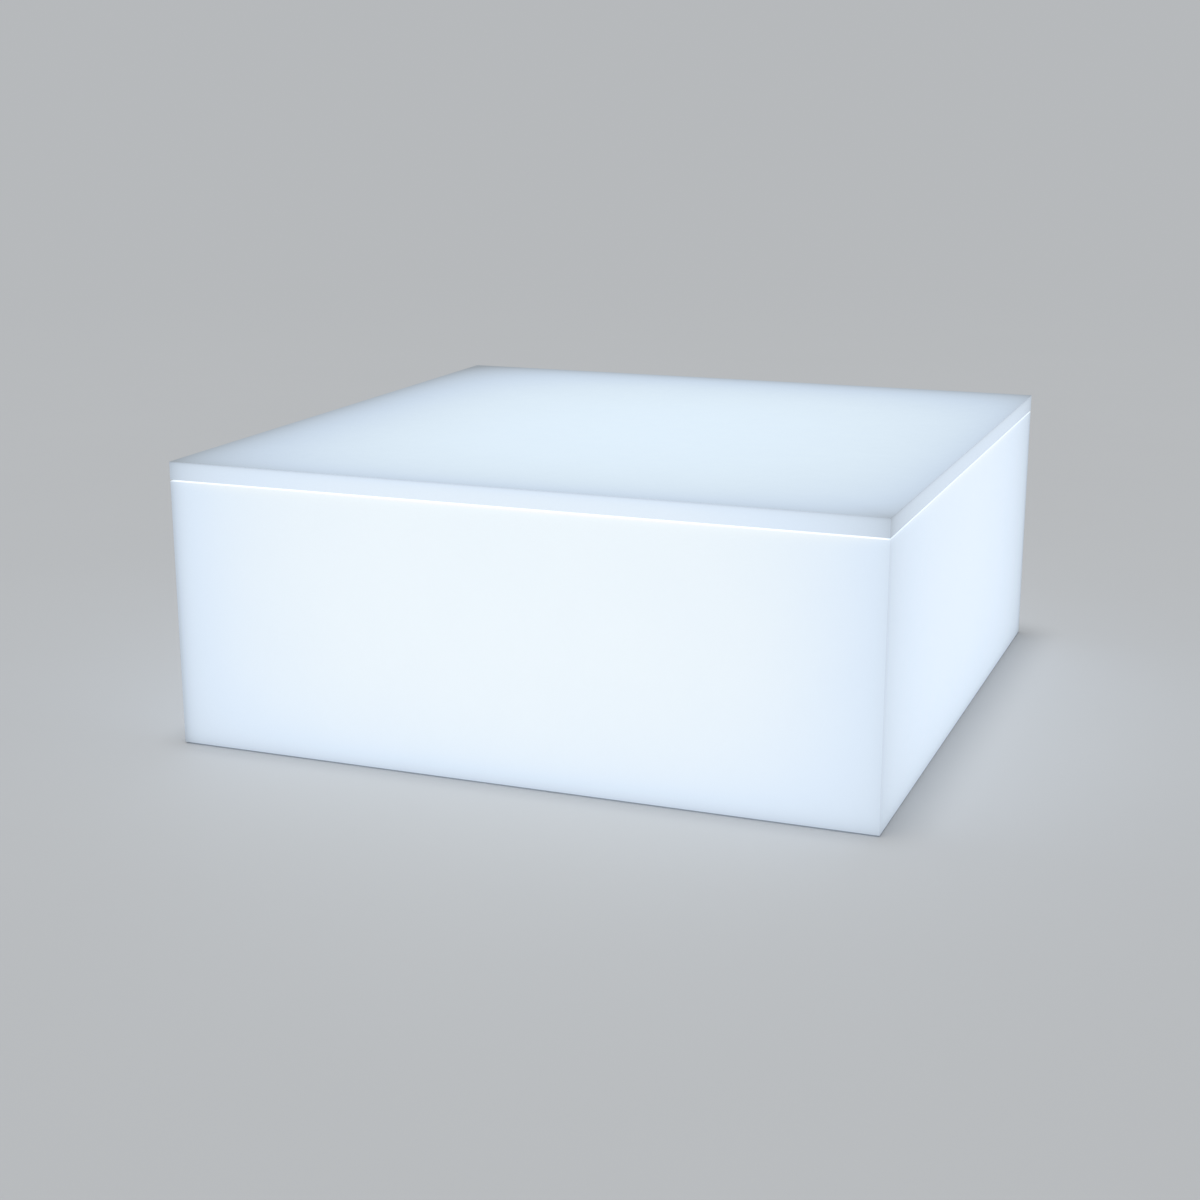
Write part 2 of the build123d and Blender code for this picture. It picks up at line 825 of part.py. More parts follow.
def control_plate():
    """Plate bonded and screwed over the window, with the two ears of the port cover's hinge."""
    outline = RectangleRounded(2 * plate_half_width, 2 * plate_half_height, window_round)
    plate = y_extrude(outline, 0, plate_back, plate_front, control_z)
    for x in (port_x, switch_x):
        plate -= y_cylinder(device_radius + device_hole_clearance, x, plate_back, plate_front, control_z)
    plate -= place_plate_screws(z_cylinder(thread_hole, 0, 0, -plate_thickness, 0))
    for side in (-1, 1):
        edges = sorted((port_x + side * ear_inner, port_x + side * ear_outer))
        web = block(*edges, plate_back, pin_y, pin_z - pin_ear_radius, pin_z + pin_ear_radius)
        pin_ear = web + x_cylinder(pin_ear_radius, *edges, pin_y, pin_z)
        plate += pin_ear - x_cylinder(pin_radius + pin_ear_clearance, *edges, pin_y, pin_z)
    return plate


def plate_screws():
    """Screws that hold the control plate to the back wall."""
    screw = pan_screw(m3_radius, plate_thickness + plate_screw_bite, m3_head_radius, m3_head_height)
    return group(place_plate_screws(screw))


def device_body(x):
    """Threaded body with its flange against the front of the control plate."""
    thread = y_cylinder(device_radius, x, device_rear, plate_front, control_z)
    return thread + y_cylinder(device_flange_radius, x, plate_front, flange_front, control_z)


def panel_nuts():
    """Hexagonal nuts behind the control plate."""
    outline = RegularPolygon(nut_across_flats / 2, 6, major_radius=False)
    outline -= Circle(device_radius + device_hole_clearance)
    low = plate_back - nut_thickness
    return group([y_extrude(outline, x, low, plate_back, control_z) for x in (port_x, switch_x)])


def charge_socket():
    """Barrel socket for the charger, with its centre pin."""
    bottom = flange_front - socket_bore_depth
    socket = device_body(port_x) - y_cylinder(socket_bore_radius, port_x, bottom, flange_front, control_z)
    return socket + y_cylinder(socket_pin_radius, port_x, bottom, flange_front - socket_pin_setback, control_z)


def switch_body():
    """Switch body, bored for the button and its spring."""
    bottom = plate_front - switch_bore_depth
    body = device_body(switch_x) - y_cylinder(switch_bore_radius, switch_x, bottom, plate_front, control_z)
    return body - y_cylinder(button_radius + button_clearance, switch_x, bottom, flange_front, control_z)


def power_button():
    """Push button, kept in by the collar behind the flange."""
    front = flange_front + button_proud
    cap = y_cylinder(button_radius, switch_x, collar_rear, front, control_z)
    cap = fillet(cap.edges().group_by(Axis.Y)[-1], button_edge_round)
    return cap + y_cylinder(button_collar_radius, switch_x, collar_rear, collar_front, control_z)


def helix_point(turn, length):
    """Point and direction on the spring's centre line after a number of turns."""
    angle = 2 * math.pi * turn
    rise = length / spring_turns
    point = Vector(spring_radius * math.cos(angle), spring_radius * math.sin(angle), rise * turn)
    run = 2 * math.pi * spring_radius
    return point, Vector(-run * math.sin(angle), run * math.cos(angle), rise).normalized()


def biarc(start, start_way, end, end_way):
    """Two tangent arcs between two points with given directions."""
    chord = end - start
    both = start_way + end_way
    spread = 2 * (1 - start_way.dot(end_way))
    along = chord.dot(both)
    reach = (math.sqrt(along * along + spread * chord.dot(chord)) - along) / spread
    middle = (start + end + (start_way - end_way) * reach) * 0.5
    middle_way = (chord - both * reach).normalized()
    return [Edge.make_tangent_arc(start, start_way, middle), Edge.make_tangent_arc(middle, middle_way, end)]


def button_spring():
    """Coil spring between the button's collar and the bottom of the switch's bore."""
    low = plate_front - switch_bore_depth + spring_end_gap + spring_wire_radius
    high = collar_rear - spring_end_gap - spring_wire_radius
    stops = [helix_point(quarter / 4, high - low) for quarter in range(4 * spring_turns + 1)]
    arcs = []
    for (start, start_way), (end, end_way) in zip(stops, stops[1:]):
        arcs += biarc(start, start_way, end, end_way)
    path = Wire(arcs)
    coil = sweep(Plane(origin=path @ 0, z_dir=path % 0) * Circle(spring_wire_radius), path=path)
    return Pos(switch_x, low, control_z) * Rot(-90, 0, 0) * coil


def port_cover():
    """Flap that hangs in front of the charging socket, with a lip to lift it by."""
    bottom = control_z - cover_half_height
    top = pin_z - pin_ear_radius - pin_ear_gap
    outline = RectangleRounded(2 * cover_half_width, top - bottom, port_cover_round)
    flap = y_extrude(outline, port_x, cover_inner_y, cover_outer_y, (top + bottom) / 2)
    edges = (port_x - knuckle_half_width, port_x + knuckle_half_width)
    flap += block(*edges, cover_inner_y, cover_outer_y, top - port_cover_round, pin_z)
    flap += x_cylinder(knuckle_radius, *edges, pin_y, pin_z)
    flap += block(*edges, cover_inner_y, cover_outer_y + lip_proud, bottom, bottom + lip_rise)
    return flap - x_cylinder(pin_radius + pin_running_clearance, *edges, pin_y, pin_z)


def hinge_pin():
    """Steel pin of the port cover, held by the two ears."""
    return x_cylinder(pin_radius, port_x - ear_outer, port_x + ear_outer, pin_y, pin_z)


# Leads

def bend_radii(points, clipped):
    """Largest bend at each corner: it may use nine tenths of an end run and half that of a run between two.

    The first run stays straight over its clipped stretch.
    """
    corners = [Vector(*point) for point in points]
    runs = [after - before for before, after in zip(corners, corners[1:])]
    share = [0.9 * run.length for run in runs]
    for i in range(1, len(runs) - 1):
        share[i] /= 2
    share[0] = min(share[0], runs[0].length - clipped)
    radii = []
    for i in range(len(runs) - 1):
        half_turn = math.radians(runs[i].get_angle(runs[i + 1])) / 2
        radii.append(min(share[i], share[i + 1]) / math.tan(half_turn))
    return radii


def lead(points, clipped=0.0):
    """Round lead along straight runs joined by tangent arcs."""
    radii = bend_radii(points, clipped)
    path = FilletPolyline(*points, radius=radii)
    solid = sweep(Plane(origin=path @ 0, z_dir=path % 0) * Circle(lead_radius), path=path)
    expected = math.pi * lead_radius ** 2 * path.length
    print("lead length", round(path.length, 1), "bends", [round(radius, 1) for radius in radii],
          "volume against section times length", round(solid.volume / expected, 5))
    return solid


def battery_lead():
    """Short lead from the battery to the controller."""
    start = battery_back + gland_length
    end = controller_front - gland_length
    x = battery_lead_offset
    return lead([(-x, start, lead_z), (-x, start + short_run, lead_z), (x, end - short_run, lead_z), (x, end, lead_z)])


def device_lead(x):
    """Lead from the back of a device on the control plate down to the controller."""
    end = controller_back + gland_length
    return lead([
        (x, device_rear, control_z), (x, device_rear - device_run, control_z),
        (x, end + device_run, lead_z), (x, end, lead_z),
    ])


def feed_leads():
    """Leads from the controller to the two inner bars."""
    start = controller_back + gland_length
    end_x = inner_bar_x - lead_pair_offset
    clipped = feed_clip_distance + clip_length / 2
    return group([
        lead([
            (side * feed_outlet_x, start, lead_z), (side * feed_outlet_x, channel_y, lead_z),
            (side * end_x, channel_y, lead_z), (side * end_x, terminal_back, lead_z),
        ], clipped)
        for side in (-1, 1)
    ])


def link_leads():
    """Leads from each inner bar on to the outer bar beside it."""
    start_x = inner_bar_x + lead_pair_offset
    end_x = bar_x(bar_count - 1) - lead_pair_offset
    return group([
        lead([
            (side * start_x, terminal_back, lead_z), (side * start_x, channel_y, lead_z),
            (side * end_x, channel_y, lead_z), (side * end_x, terminal_back, lead_z),
        ])
        for side in (-1, 1)
    ])


def lead_clip(x, y, turn):
    """Saddle clip on the base plate round a lead that runs along the turned X direction."""
    bore = lead_radius + clip_clearance
    saddle = bore + clip_wall
    half = clip_length / 2
    width = clip_base_width / 2
    clip = block(-half, half, -width, width, base_top, base_top + clip_base_thickness)
    clip += block(-half, half, -saddle, saddle, base_top, lead_z)
    clip += x_cylinder(saddle, -half, half, 0, lead_z)
    clip -= x_cylinder(bore, -half, half, 0, lead_z)
    return Pos(x, y, 0) * Rot(0, 0, turn) * clip


def lead_clips():
    """Clips on the feed leads and the link leads."""
    feed_y = controller_back + gland_length + feed_clip_distance
    link_x = (inner_bar_x + bar_x(bar_count - 1)) / 2
    clips = []
    for side in (-1, 1):
        clips.append(lead_clip(side * feed_outlet_x, feed_y, 90))
        clips.append(lead_clip(side * link_x, channel_y, 0))
    return group(clips)


def all_pieces():
    """Every node of the table, by name."""
    pieces = {}
    for side in SIDES:
        pieces[side + "_panel"] = wall_panel(side)
        pieces["base_rail_" + side] = base_rail(side)
        pieces["lid_rest_" + side] = lid_rest(side)
        pieces["lid_skirt_" + side] = lid_skirt(side)
    for name, signs in CORNERS.items():
        pieces["corner_block_" + name] = corner_block(*signs)
    for index in range(bar_count):
        pieces["led_bar_" + str(index + 1)] = led_bar(index)
    makers = (
        lid_panel, base_plate, base_screws, rubber_feet, foot_screws, led_chips, led_lenses, bar_terminals,
        centre_post, post_socket, post_cap, inner_screws, battery_case, battery_cover, battery_cells,
        controller_case, controller_cover, controller_board, board_parts, control_plate, plate_screws,
        panel_nuts, charge_socket, switch_body, power_button, button_spring, port_cover, hinge_pin,
        battery_lead, feed_leads, link_leads, lead_clips,
    )
    for maker in makers:
        pieces[maker.__name__] = maker()
    pieces["charge_lead"] = device_lead(port_x)
    pieces["switch_lead"] = device_lead(switch_x)
    return pieces


os.makedirs("parts", exist_ok=True)
for node, shape in all_pieces().items():
    export_step(shape, "parts/" + node + ".step")
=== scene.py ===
import math

import bmesh
import bpy
from bpy.props import FloatProperty, FloatVectorProperty, IntProperty, PointerProperty
from mathutils import Matrix, Vector


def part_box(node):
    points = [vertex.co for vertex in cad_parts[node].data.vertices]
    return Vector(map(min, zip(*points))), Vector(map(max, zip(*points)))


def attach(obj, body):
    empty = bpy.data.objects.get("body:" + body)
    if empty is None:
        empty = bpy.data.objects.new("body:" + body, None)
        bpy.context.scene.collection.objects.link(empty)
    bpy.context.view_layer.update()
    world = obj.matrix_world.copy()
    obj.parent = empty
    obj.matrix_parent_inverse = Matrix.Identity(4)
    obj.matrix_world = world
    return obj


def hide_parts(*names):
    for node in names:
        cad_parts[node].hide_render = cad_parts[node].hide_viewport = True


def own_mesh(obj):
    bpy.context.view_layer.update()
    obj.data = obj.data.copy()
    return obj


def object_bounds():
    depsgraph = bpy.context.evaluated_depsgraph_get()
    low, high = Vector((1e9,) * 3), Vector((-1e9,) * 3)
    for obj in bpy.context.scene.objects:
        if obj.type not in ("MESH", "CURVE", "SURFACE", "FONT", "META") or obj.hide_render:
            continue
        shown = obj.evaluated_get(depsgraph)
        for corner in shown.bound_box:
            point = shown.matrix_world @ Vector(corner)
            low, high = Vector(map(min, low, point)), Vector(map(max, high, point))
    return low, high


# A square coffee table of opal acrylic, lit from inside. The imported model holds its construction.
# This add-on gives every piece its finish and its light, and makes the small moulded and metal pieces
# that sit on it. Metres, +Z up, in the model's own frame.

bl_info = {
    "name": "Lit coffee table",
    "version": (1, 0, 0),
    "blender": (4, 5, 0),
    "location": "3D View > Sidebar > Lit table",
    "description": "Finishes, light and small parts of an opal acrylic coffee table",
    "category": "Object",
}

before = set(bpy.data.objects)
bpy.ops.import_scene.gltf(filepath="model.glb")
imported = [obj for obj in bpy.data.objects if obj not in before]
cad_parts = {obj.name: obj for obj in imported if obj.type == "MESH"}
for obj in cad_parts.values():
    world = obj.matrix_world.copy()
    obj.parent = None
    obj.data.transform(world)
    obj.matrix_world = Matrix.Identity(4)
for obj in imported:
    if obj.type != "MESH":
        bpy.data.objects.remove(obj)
cad_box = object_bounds()

MM = 0.001
SIDES = ("front", "right", "back", "left")
CORNERS = ("front_left", "front_right", "back_left", "back_right")
BAR_COUNT = 4
LENS_ROWS = 9

half_width = cad_box[1].x
half_depth = cad_box[1].y
table_top = cad_box[1].z
wall_bottom, wall_top = (corner.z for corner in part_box("front_panel"))
wall_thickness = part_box("front_panel")[1].y + half_depth


def colour_setting(name, description, default):
    """A colour that a user can change."""
    return FloatVectorProperty(
        name=name, description=description, default=default, subtype="COLOR", size=3, min=0.0, max=2.0
    )


def share_setting(name, description, default):
    """A share from 0 to 1 that a user can change."""
    return FloatProperty(
        name=name, description=description, default=default, subtype="FACTOR", min=0.0, max=1.0
    )


def level_setting(name, description, default):
    """A brightness that a user can change."""
    return FloatProperty(name=name, description=description, default=default)


def length_setting(name, description, default):
    """A length that a user can change."""
    return FloatProperty(name=name, description=description, default=default, unit="LENGTH", precision=5)


def angle_setting(name, description, degrees):
    """An angle that a user can change."""
    return FloatProperty(name=name, description=description, default=math.radians(degrees), subtype="ANGLE")


class OpalSettings(bpy.types.PropertyGroup):
    """Opal acrylic sheet and the light that comes through it"""

    sheet: colour_setting("Sheet", "Colour of the unlit sheet", (0.29, 0.325, 0.355))
    bright: colour_setting("Bright light", "Tint of the light in the middle of a wall", (0.937, 1.01, 1.056))
    dim: colour_setting("Dim light", "Tint of the light near a wall's edges", (0.87, 1.0, 1.162))
    lid_bright: colour_setting(
        "Lid light tint", "Tint of the light in the middle of the lid", (0.835, 1.0, 1.14)
    )
    lid_dim: colour_setting("Lid edge tint", "Tint of the light near the lid's edges", (0.80, 0.995, 1.26))
    seam: colour_setting("Seam tint", "Tint of the light in the seam under the lid", (1.01, 1.0, 0.99))
    roughness: share_setting("Roughness", "How far the polish is satin", 0.42)
    wall_level: level_setting("Wall light", "Brightness in the middle of a wall", 0.926)
    sheet_level: level_setting("Lid light", "Brightness in the middle of the lid", 0.896)
    skirt_level: level_setting("Lid edge light", "Brightness in the middle of the lid's edge", 0.874)
    seam_level: level_setting("Seam light", "Brightness of the walls' top faces, seen under the lid", 0.985)
    side_share: share_setting("Side light", "Share of the light in the left and right walls", 0.94)
    skirt_share: share_setting(
        "Lid side light", "Share of the light in the lid's left and right edges", 0.893
    )
    inner_share: share_setting("Inner face light", "Share of the light on the walls' inner faces", 0.84)
    wall_daylight: level_setting("Wall daylight", "What the studio adds to a wall's brightness", 0.147)
    lid_daylight: level_setting("Lid daylight", "What the studio adds to the lid's brightness", 0.35)


class InnerSettings(bpy.types.PropertyGroup):
    """The clear bars, the LED bars and the white pieces inside the table"""

    clear: colour_setting("Clear acrylic", "Colour of the clear acrylic", (0.9, 0.96, 1.0))
    board: colour_setting("Base sheet", "Colour of the base plate", (0.8, 0.81, 0.82))
    mask: colour_setting("Bar mask", "Solder mask of the LED bars", (0.84, 0.85, 0.86))
    phosphor: colour_setting("Phosphor", "Phosphor of the LEDs", (0.95, 0.84, 0.42))
    led_light: colour_setting("LED light", "Light of the LEDs", (0.86, 0.95, 1.0))
    moulding: colour_setting("Moulding", "White moulded cases", (0.8, 0.81, 0.81))
    lead: colour_setting("Lead jacket", "Jacket of the leads", (0.82, 0.83, 0.84))


class HardwareSettings(bpy.types.PropertyGroup):
    """Feet, screws and the control panel"""

    rubber: colour_setting("Rubber", "Rubber of the feet", (0.035, 0.035, 0.038))
    steel: colour_setting("Screw steel", "Zinc-plated screws", (0.6, 0.61, 0.63))
    nickel: colour_setting("Nickel", "Nickel-plated brass", (0.66, 0.645, 0.62))
    plate: colour_setting("Control plate", "Plate behind the window", (0.46, 0.475, 0.49))
    cover: colour_setting("Port cover", "Rubber flap over the charging socket", (0.07, 0.072, 0.078))
    boot_length: length_setting("Boot length", "Length of the boots on the leads", 6 * MM)
    boot_ribs: IntProperty(name="Boot ribs", description="Ribs on each boot", default=3, min=1, max=6)


class StageSettings(bpy.types.PropertyGroup):
    """Floor, lights and camera"""

    floor: colour_setting("Floor", "Colour of the floor", (0.47, 0.485, 0.5))
    backdrop: colour_setting("Backdrop", "Colour behind the floor", (0.47, 0.485, 0.5))
    floor_radius: length_setting("Floor radius", "Radius of the round floor", 14.0)
    ambient: level_setting("Ambient", "Level of the light from all round", 0.3)
    key_level: level_setting("Key light", "Level that the soft light adds on the floor", 0.7)
    key_spread: angle_setting("Key spread", "Angle that the soft light fills", 18)
    key_from: FloatVectorProperty(
        name="Key from", description="Direction that the soft light comes from", default=(-0.02, -0.04, 1.0),
        subtype="XYZ",
    )
    camera_azimuth: angle_setting("Azimuth", "Camera's turn round the table", 21.337)
    camera_elevation: angle_setting("Elevation", "Camera's height angle", 14.816)
    camera_roll: angle_setting("Roll", "Camera's tilt about its axis", -0.103)
    camera_distance: length_setting("Distance", "From the camera to what it looks at", 3.0514)
    camera_aim: FloatVectorProperty(
        name="Aim", description="Point that the camera looks at", default=(-0.0655, 0.0, 0.1265),
        subtype="XYZ",
    )
    camera_lens: FloatProperty(name="Lens", description="Focal length", default=59.1, unit="CAMERA")


class TableSettings(bpy.types.PropertyGroup):
    """Every setting of the table"""

    opal: PointerProperty(type=OpalSettings, name="Opal", description="Opal sheet and its light")
    inner: PointerProperty(type=InnerSettings, name="Inside", description="Pieces inside the table")
    hardware: PointerProperty(type=HardwareSettings, name="Hardware", description="Feet, screws and controls")
    stage: PointerProperty(type=StageSettings, name="Stage", description="Floor, lights and camera")


class Finish:
    """A material: one Principled surface, with the nodes that give it grain, variation and light."""

    def __init__(self, name, colour, roughness, metallic=0.0, shine=0.5):
        self.material = bpy.data.materials.new(name)
        self.material.use_nodes = True
        self.tree = self.material.node_tree
        self.surface = self.tree.nodes["Principled BSDF"]
        self.colour = colour
        self.roughness = roughness
        self.set("Base Color", (*colour, 1.0))
        self.set("Roughness", roughness)
        self.set("Metallic", metallic)
        self.set("Specular IOR Level", shine)
        self.place = self.add("ShaderNodeTexCoord").outputs["Object"]

    def add(self, kind, **settings):
        """A new node."""
        node = self.tree.nodes.new(kind)
        for name, value in settings.items():
            setattr(node, name, value)
        return node

    def feed(self, socket, value):
        """Puts a number, a colour or another node's result into a socket."""
        if isinstance(value, bpy.types.NodeSocket):
            self.tree.links.new(value, socket)
        else:
            socket.default_value = value

    def set(self, name, value):
        """Sets one of the surface's sockets."""
        self.feed(self.surface.inputs[name], value)

    def maths(self, operation, *values):
        """Result of a sum on numbers or on other nodes' results."""
        node = self.add("ShaderNodeMath", operation=operation)
        for socket, value in zip(node.inputs, values):
            self.feed(socket, value)
        return node.outputs[0]

    def product(self, result, *others):
        """Numbers or other nodes' results multiplied together."""
        for other in others:
            result = self.maths("MULTIPLY", result, other)
        return result

    def share_where(self, mask, share):
        """The share where the mask is 1, and 1 where it is 0."""
        return self.maths("MULTIPLY_ADD", self.maths("SUBTRACT", share, 1.0), mask, 1.0)

    def axes(self):
        """The place's x, y and z."""
        split = self.add("ShaderNodeSeparateXYZ")
        self.feed(split.inputs[0], self.place)
        return split.outputs

    def ramp(self, value, low, high):
        """A value's place between low and high, from 0 to 1."""
        node = self.add("ShaderNodeMapRange", clamp=True, interpolation_type="SMOOTHSTEP")
        for name, number in (("Value", value), ("From Min", low), ("From Max", high)):
            self.feed(node.inputs[name], number)
        return node.outputs["Result"]

    def blend(self, share, first, second):
        """A colour between two."""
        node = self.add("ShaderNodeMix", data_type="RGBA")
        self.feed(node.inputs["Factor"], share)
        for name, colour in (("A", first), ("B", second)):
            socket = next(s for s in node.inputs if s.name == name and s.type == "RGBA")
            self.feed(socket, (*colour, 1.0) if isinstance(colour, (tuple, list)) else colour)
        return next(s for s in node.outputs if s.type == "RGBA")

    def cloud(self, size, detail=2.0, stretch=(1.0, 1.0, 1.0)):
        """Soft random pattern from 0 to 1, in patches about size wide, drawn out by stretch."""
        mapping = self.add("ShaderNodeMapping")
        self.feed(mapping.inputs["Vector"], self.place)
        mapping.inputs["Scale"].default_value = [1 / (size * part) for part in stretch]
        noise = self.add("ShaderNodeTexNoise")
        self.feed(noise.inputs["Vector"], mapping.outputs[0])
        noise.inputs["Scale"].default_value = 1.0
        noise.inputs["Detail"].default_value = detail
        return noise.outputs["Fac"]

    def vary(self, pattern, amount):
        """Lets the colour drift darker and lighter with a pattern."""
        darker = [part * (1 - amount) for part in self.colour]
        lighter = [part * (1 + amount) for part in self.colour]
        self.set("Base Color", self.blend(pattern, darker, lighter))

    def polish(self, pattern, amount):
        """Lets the roughness drift with a pattern."""
        shift = self.product(self.maths("SUBTRACT", pattern, 0.5), amount)
        self.set("Roughness", self.maths("ADD", shift, self.roughness))

    def emboss(self, pattern, depth):
        """Raises a pattern by a depth."""
        bump = self.add("ShaderNodeBump")
        bump.inputs["Distance"].default_value = depth
        self.feed(bump.inputs["Height"], pattern)
        current = self.surface.inputs["Normal"]
        if current.is_linked:
            self.feed(bump.inputs["Normal"], current.links[0].from_socket)
        self.set("Normal", bump.outputs["Normal"])

    def light(self, colour, strength):
        """Light that the surface gives."""
        self.set("Emission Color", (*colour, 1.0) if isinstance(colour, (tuple, list)) else colour)
        self.set("Emission Strength", strength)

    def onto(self, *nodes):
        """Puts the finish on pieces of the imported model."""
        for name in nodes:
            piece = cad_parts[name]
            if not piece.material_slots:
                piece.data.materials.append(self.material)
            for slot in piece.material_slots:
                slot.material = self.material
        return self


# Finishes

def fade(finish, distance, *steps):
    """Light level near an edge: 1 far from it, less each share at it, each easing off over its reach."""
    level = 1.0
    for share, reach in steps:
        fall = finish.maths("EXPONENT", finish.maths("DIVIDE", distance, -reach))
        level = finish.maths("SUBTRACT", level, finish.product(fall, share))
    return level


def depths(finish, x, y):
    """How far a place lies in from the table's left or right face, and from its front or back face."""
    across = finish.maths("SUBTRACT", half_width, finish.maths("ABSOLUTE", x))
    along = finish.maths("SUBTRACT", half_depth, finish.maths("ABSOLUTE", y))
    return across, along


def corner_fade(finish, x, y, broad, narrow):
    """Light level along a side, lower towards its upright corners.

    Each of broad and narrow is a reach and the shares at the front left, front right, back left and back
    right corners.
    """
    distance = finish.maths("MAXIMUM", *depths(finish, x, y))
    half_change = 100 * MM
    to_right = finish.ramp(x, -half_change, half_change)
    to_back = finish.ramp(y, -half_change, half_change)
    steps = []
    for reach, front_left, front_right, back_left, back_right in (broad, narrow):
        front = finish.maths("MULTIPLY_ADD", to_right, front_right - front_left, front_left)
        back = finish.maths("MULTIPLY_ADD", to_right, back_right - back_left, back_left)
        gap = finish.maths("SUBTRACT", back, front)
        steps.append((finish.maths("MULTIPLY_ADD", gap, to_back, front), reach))
    return fade(finish, distance, *steps)


def side_share(finish, x, y, share, front_end):
    """Share of the light on the left and right sides, less towards their front ends. It is 1 elsewhere."""
    across, along = depths(finish, x, y)
    at_sides = finish.maths("LESS_THAN", across, along)
    side = finish.product(fade(finish, finish.maths("ADD", half_depth, y), front_end), share)
    return finish.share_where(at_sides, side)


def opal(settings, name, level_of, daylight, tints, span):
    """Opal acrylic sheet with the light of the LEDs in it.

    The light's tint goes from the first to the second of tints as its level goes over the span.
    """
    finish = Finish(name, tuple(settings.sheet), settings.roughness, shine=0.12)
    mottle_depth = 0.018
    seam_span = (0.95, 0.985)
    least_light = 0.02
    patches = finish.cloud(110 * MM, 3.0)
    mottle = finish.maths("MULTIPLY_ADD", patches, mottle_depth, 1 - mottle_depth / 2)
    level = finish.product(level_of(finish, settings), mottle)
    tint = finish.blend(finish.ramp(level, *span), *(tuple(colour) for colour in tints))
    tint = finish.blend(finish.ramp(level, *seam_span), tint, tuple(settings.seam))
    finish.light(tint, finish.maths("MAXIMUM", finish.maths("SUBTRACT", level, daylight), least_light))
    finish.vary(finish.cloud(60 * MM, 3.0), 0.02)
    finish.polish(finish.cloud(20 * MM, 3.0), 0.1)
    finish.emboss(finish.cloud(0.9 * MM, 1.0), 0.012 * MM)
    return finish


def upright_opal(settings, name, level_of):
    """Opal sheet of the walls and of the lid's edges."""
    tints = (settings.dim, settings.bright)
    return opal(settings, name, level_of, settings.wall_daylight, tints, (0.82, 0.935))


def lid_opal(settings):
    """Opal sheet of the lid's flat top."""
    tints = (settings.lid_dim, settings.lid_bright)
    return opal(settings, "opal_lid", lid_level, settings.lid_daylight, tints, (0.68, 0.86))


def wall_level(finish, settings):
    """Light level of the walls, by place."""
    x, y, z = finish.axes()
    broad = (105 * MM, 0.14, 0.125, 0.24, 0.265)
    narrow = (9 * MM, 0.28, 0.045, 0.14, 0.22)
    corner = corner_fade(finish, x, y, broad, narrow)
    foot = fade(finish, finish.maths("SUBTRACT", z, wall_bottom), (0.185, 10 * MM), (0.09, 70 * MM))
    head = fade(finish, finish.maths("SUBTRACT", wall_top, z), (-0.08, 4.5 * MM))
    level = finish.product(corner, foot, settings.wall_level, head)
    at_top = finish.ramp(z, wall_top - 0.3 * MM, wall_top)
    rise = finish.product(finish.maths("SUBTRACT", settings.seam_level, level), at_top)
    depth = finish.maths("MINIMUM", *depths(finish, x, y))
    at_inside = finish.ramp(depth, wall_thickness - 0.6 * MM, wall_thickness - 0.1 * MM)
    inside = finish.share_where(at_inside, settings.inner_share)
    sides = side_share(finish, x, y, settings.side_share, (0.055, 120 * MM))
    return finish.product(finish.maths("ADD", level, rise), inside, sides)


def lid_level(finish, settings):
    """Light level of the lid's flat sheet, by place."""
    x, y, _ = finish.axes()
    from_front = finish.maths("ADD", half_depth, y)
    from_back = finish.maths("SUBTRACT", half_depth, y)
    from_left = finish.maths("ADD", half_width, x)
    from_right = finish.maths("SUBTRACT", half_width, x)
    from_near_corner = finish.maths("MAXIMUM", from_front, from_right)
    return finish.product(
        fade(finish, from_front, (0.085, 25 * MM), (0.155, 110 * MM)),
        fade(finish, from_back, (0.15, 22 * MM), (0.30, 120 * MM)),
        fade(finish, from_left, (0.12, 22 * MM), (0.36, 120 * MM)),
        fade(finish, from_right, (0.07, 22 * MM), (0.15, 150 * MM)),
        fade(finish, from_near_corner, (0.12, 28 * MM)),
        settings.sheet_level,
    )


def skirt_level(finish, settings):
    """Light level of the lid's downturned edges, by place."""
    x, y, z = finish.axes()
    broad = (85 * MM, 0.22, 0.24, 0.24, 0.24)
    narrow = (12 * MM, 0.17, 0.08, 0.1, 0.1)
    corner = corner_fade(finish, x, y, broad, narrow)
    ridge = fade(finish, finish.maths("SUBTRACT", table_top, z), (0.10, 4.5 * MM), (0.28, 1.0 * MM))
    sides = side_share(finish, x, y, settings.skirt_share, (0.06, 300 * MM))
    return finish.product(corner, ridge, sides, settings.skirt_level)


def clear_acrylic(settings):
    """Clear polished acrylic with a little of the LEDs' light in it."""
    finish = Finish("clear_acrylic", tuple(settings.clear), 0.07)
    finish.set("IOR", 1.49)
    finish.set("Transmission Weight", 0.85)
    finish.light(tuple(settings.led_light), 0.06)
    finish.polish(finish.cloud(12 * MM), 0.06)
    finish.emboss(finish.cloud(60 * MM), 0.01 * MM)
    return finish


def moulded(name, colour, roughness, grain=0.5 * MM, depth=0.02 * MM, shine=0.45):
    """Moulded plastic with a spark-eroded grain."""
    finish = Finish(name, tuple(colour), roughness, shine=shine)
    finish.vary(finish.cloud(9 * MM, 3.0), 0.03)
    finish.polish(finish.cloud(3 * MM, 3.0), 0.12)
    finish.emboss(finish.cloud(grain, 2.0), depth)
    return finish


def rubber(name, colour):
    """Moulded rubber with a dull skin and a little dust."""
    finish = Finish(name, tuple(colour), 0.82, shine=0.3)
    dusty = [part * 1.35 + 0.004 for part in colour]
    dust = finish.ramp(finish.cloud(3 * MM, 6.0), 0.4, 0.8)
    finish.set("Base Color", finish.blend(dust, tuple(colour), dusty))
    finish.polish(finish.cloud(2 * MM), 0.12)
    finish.emboss(finish.cloud(0.35 * MM, 3.0), 0.03 * MM)
    return finish


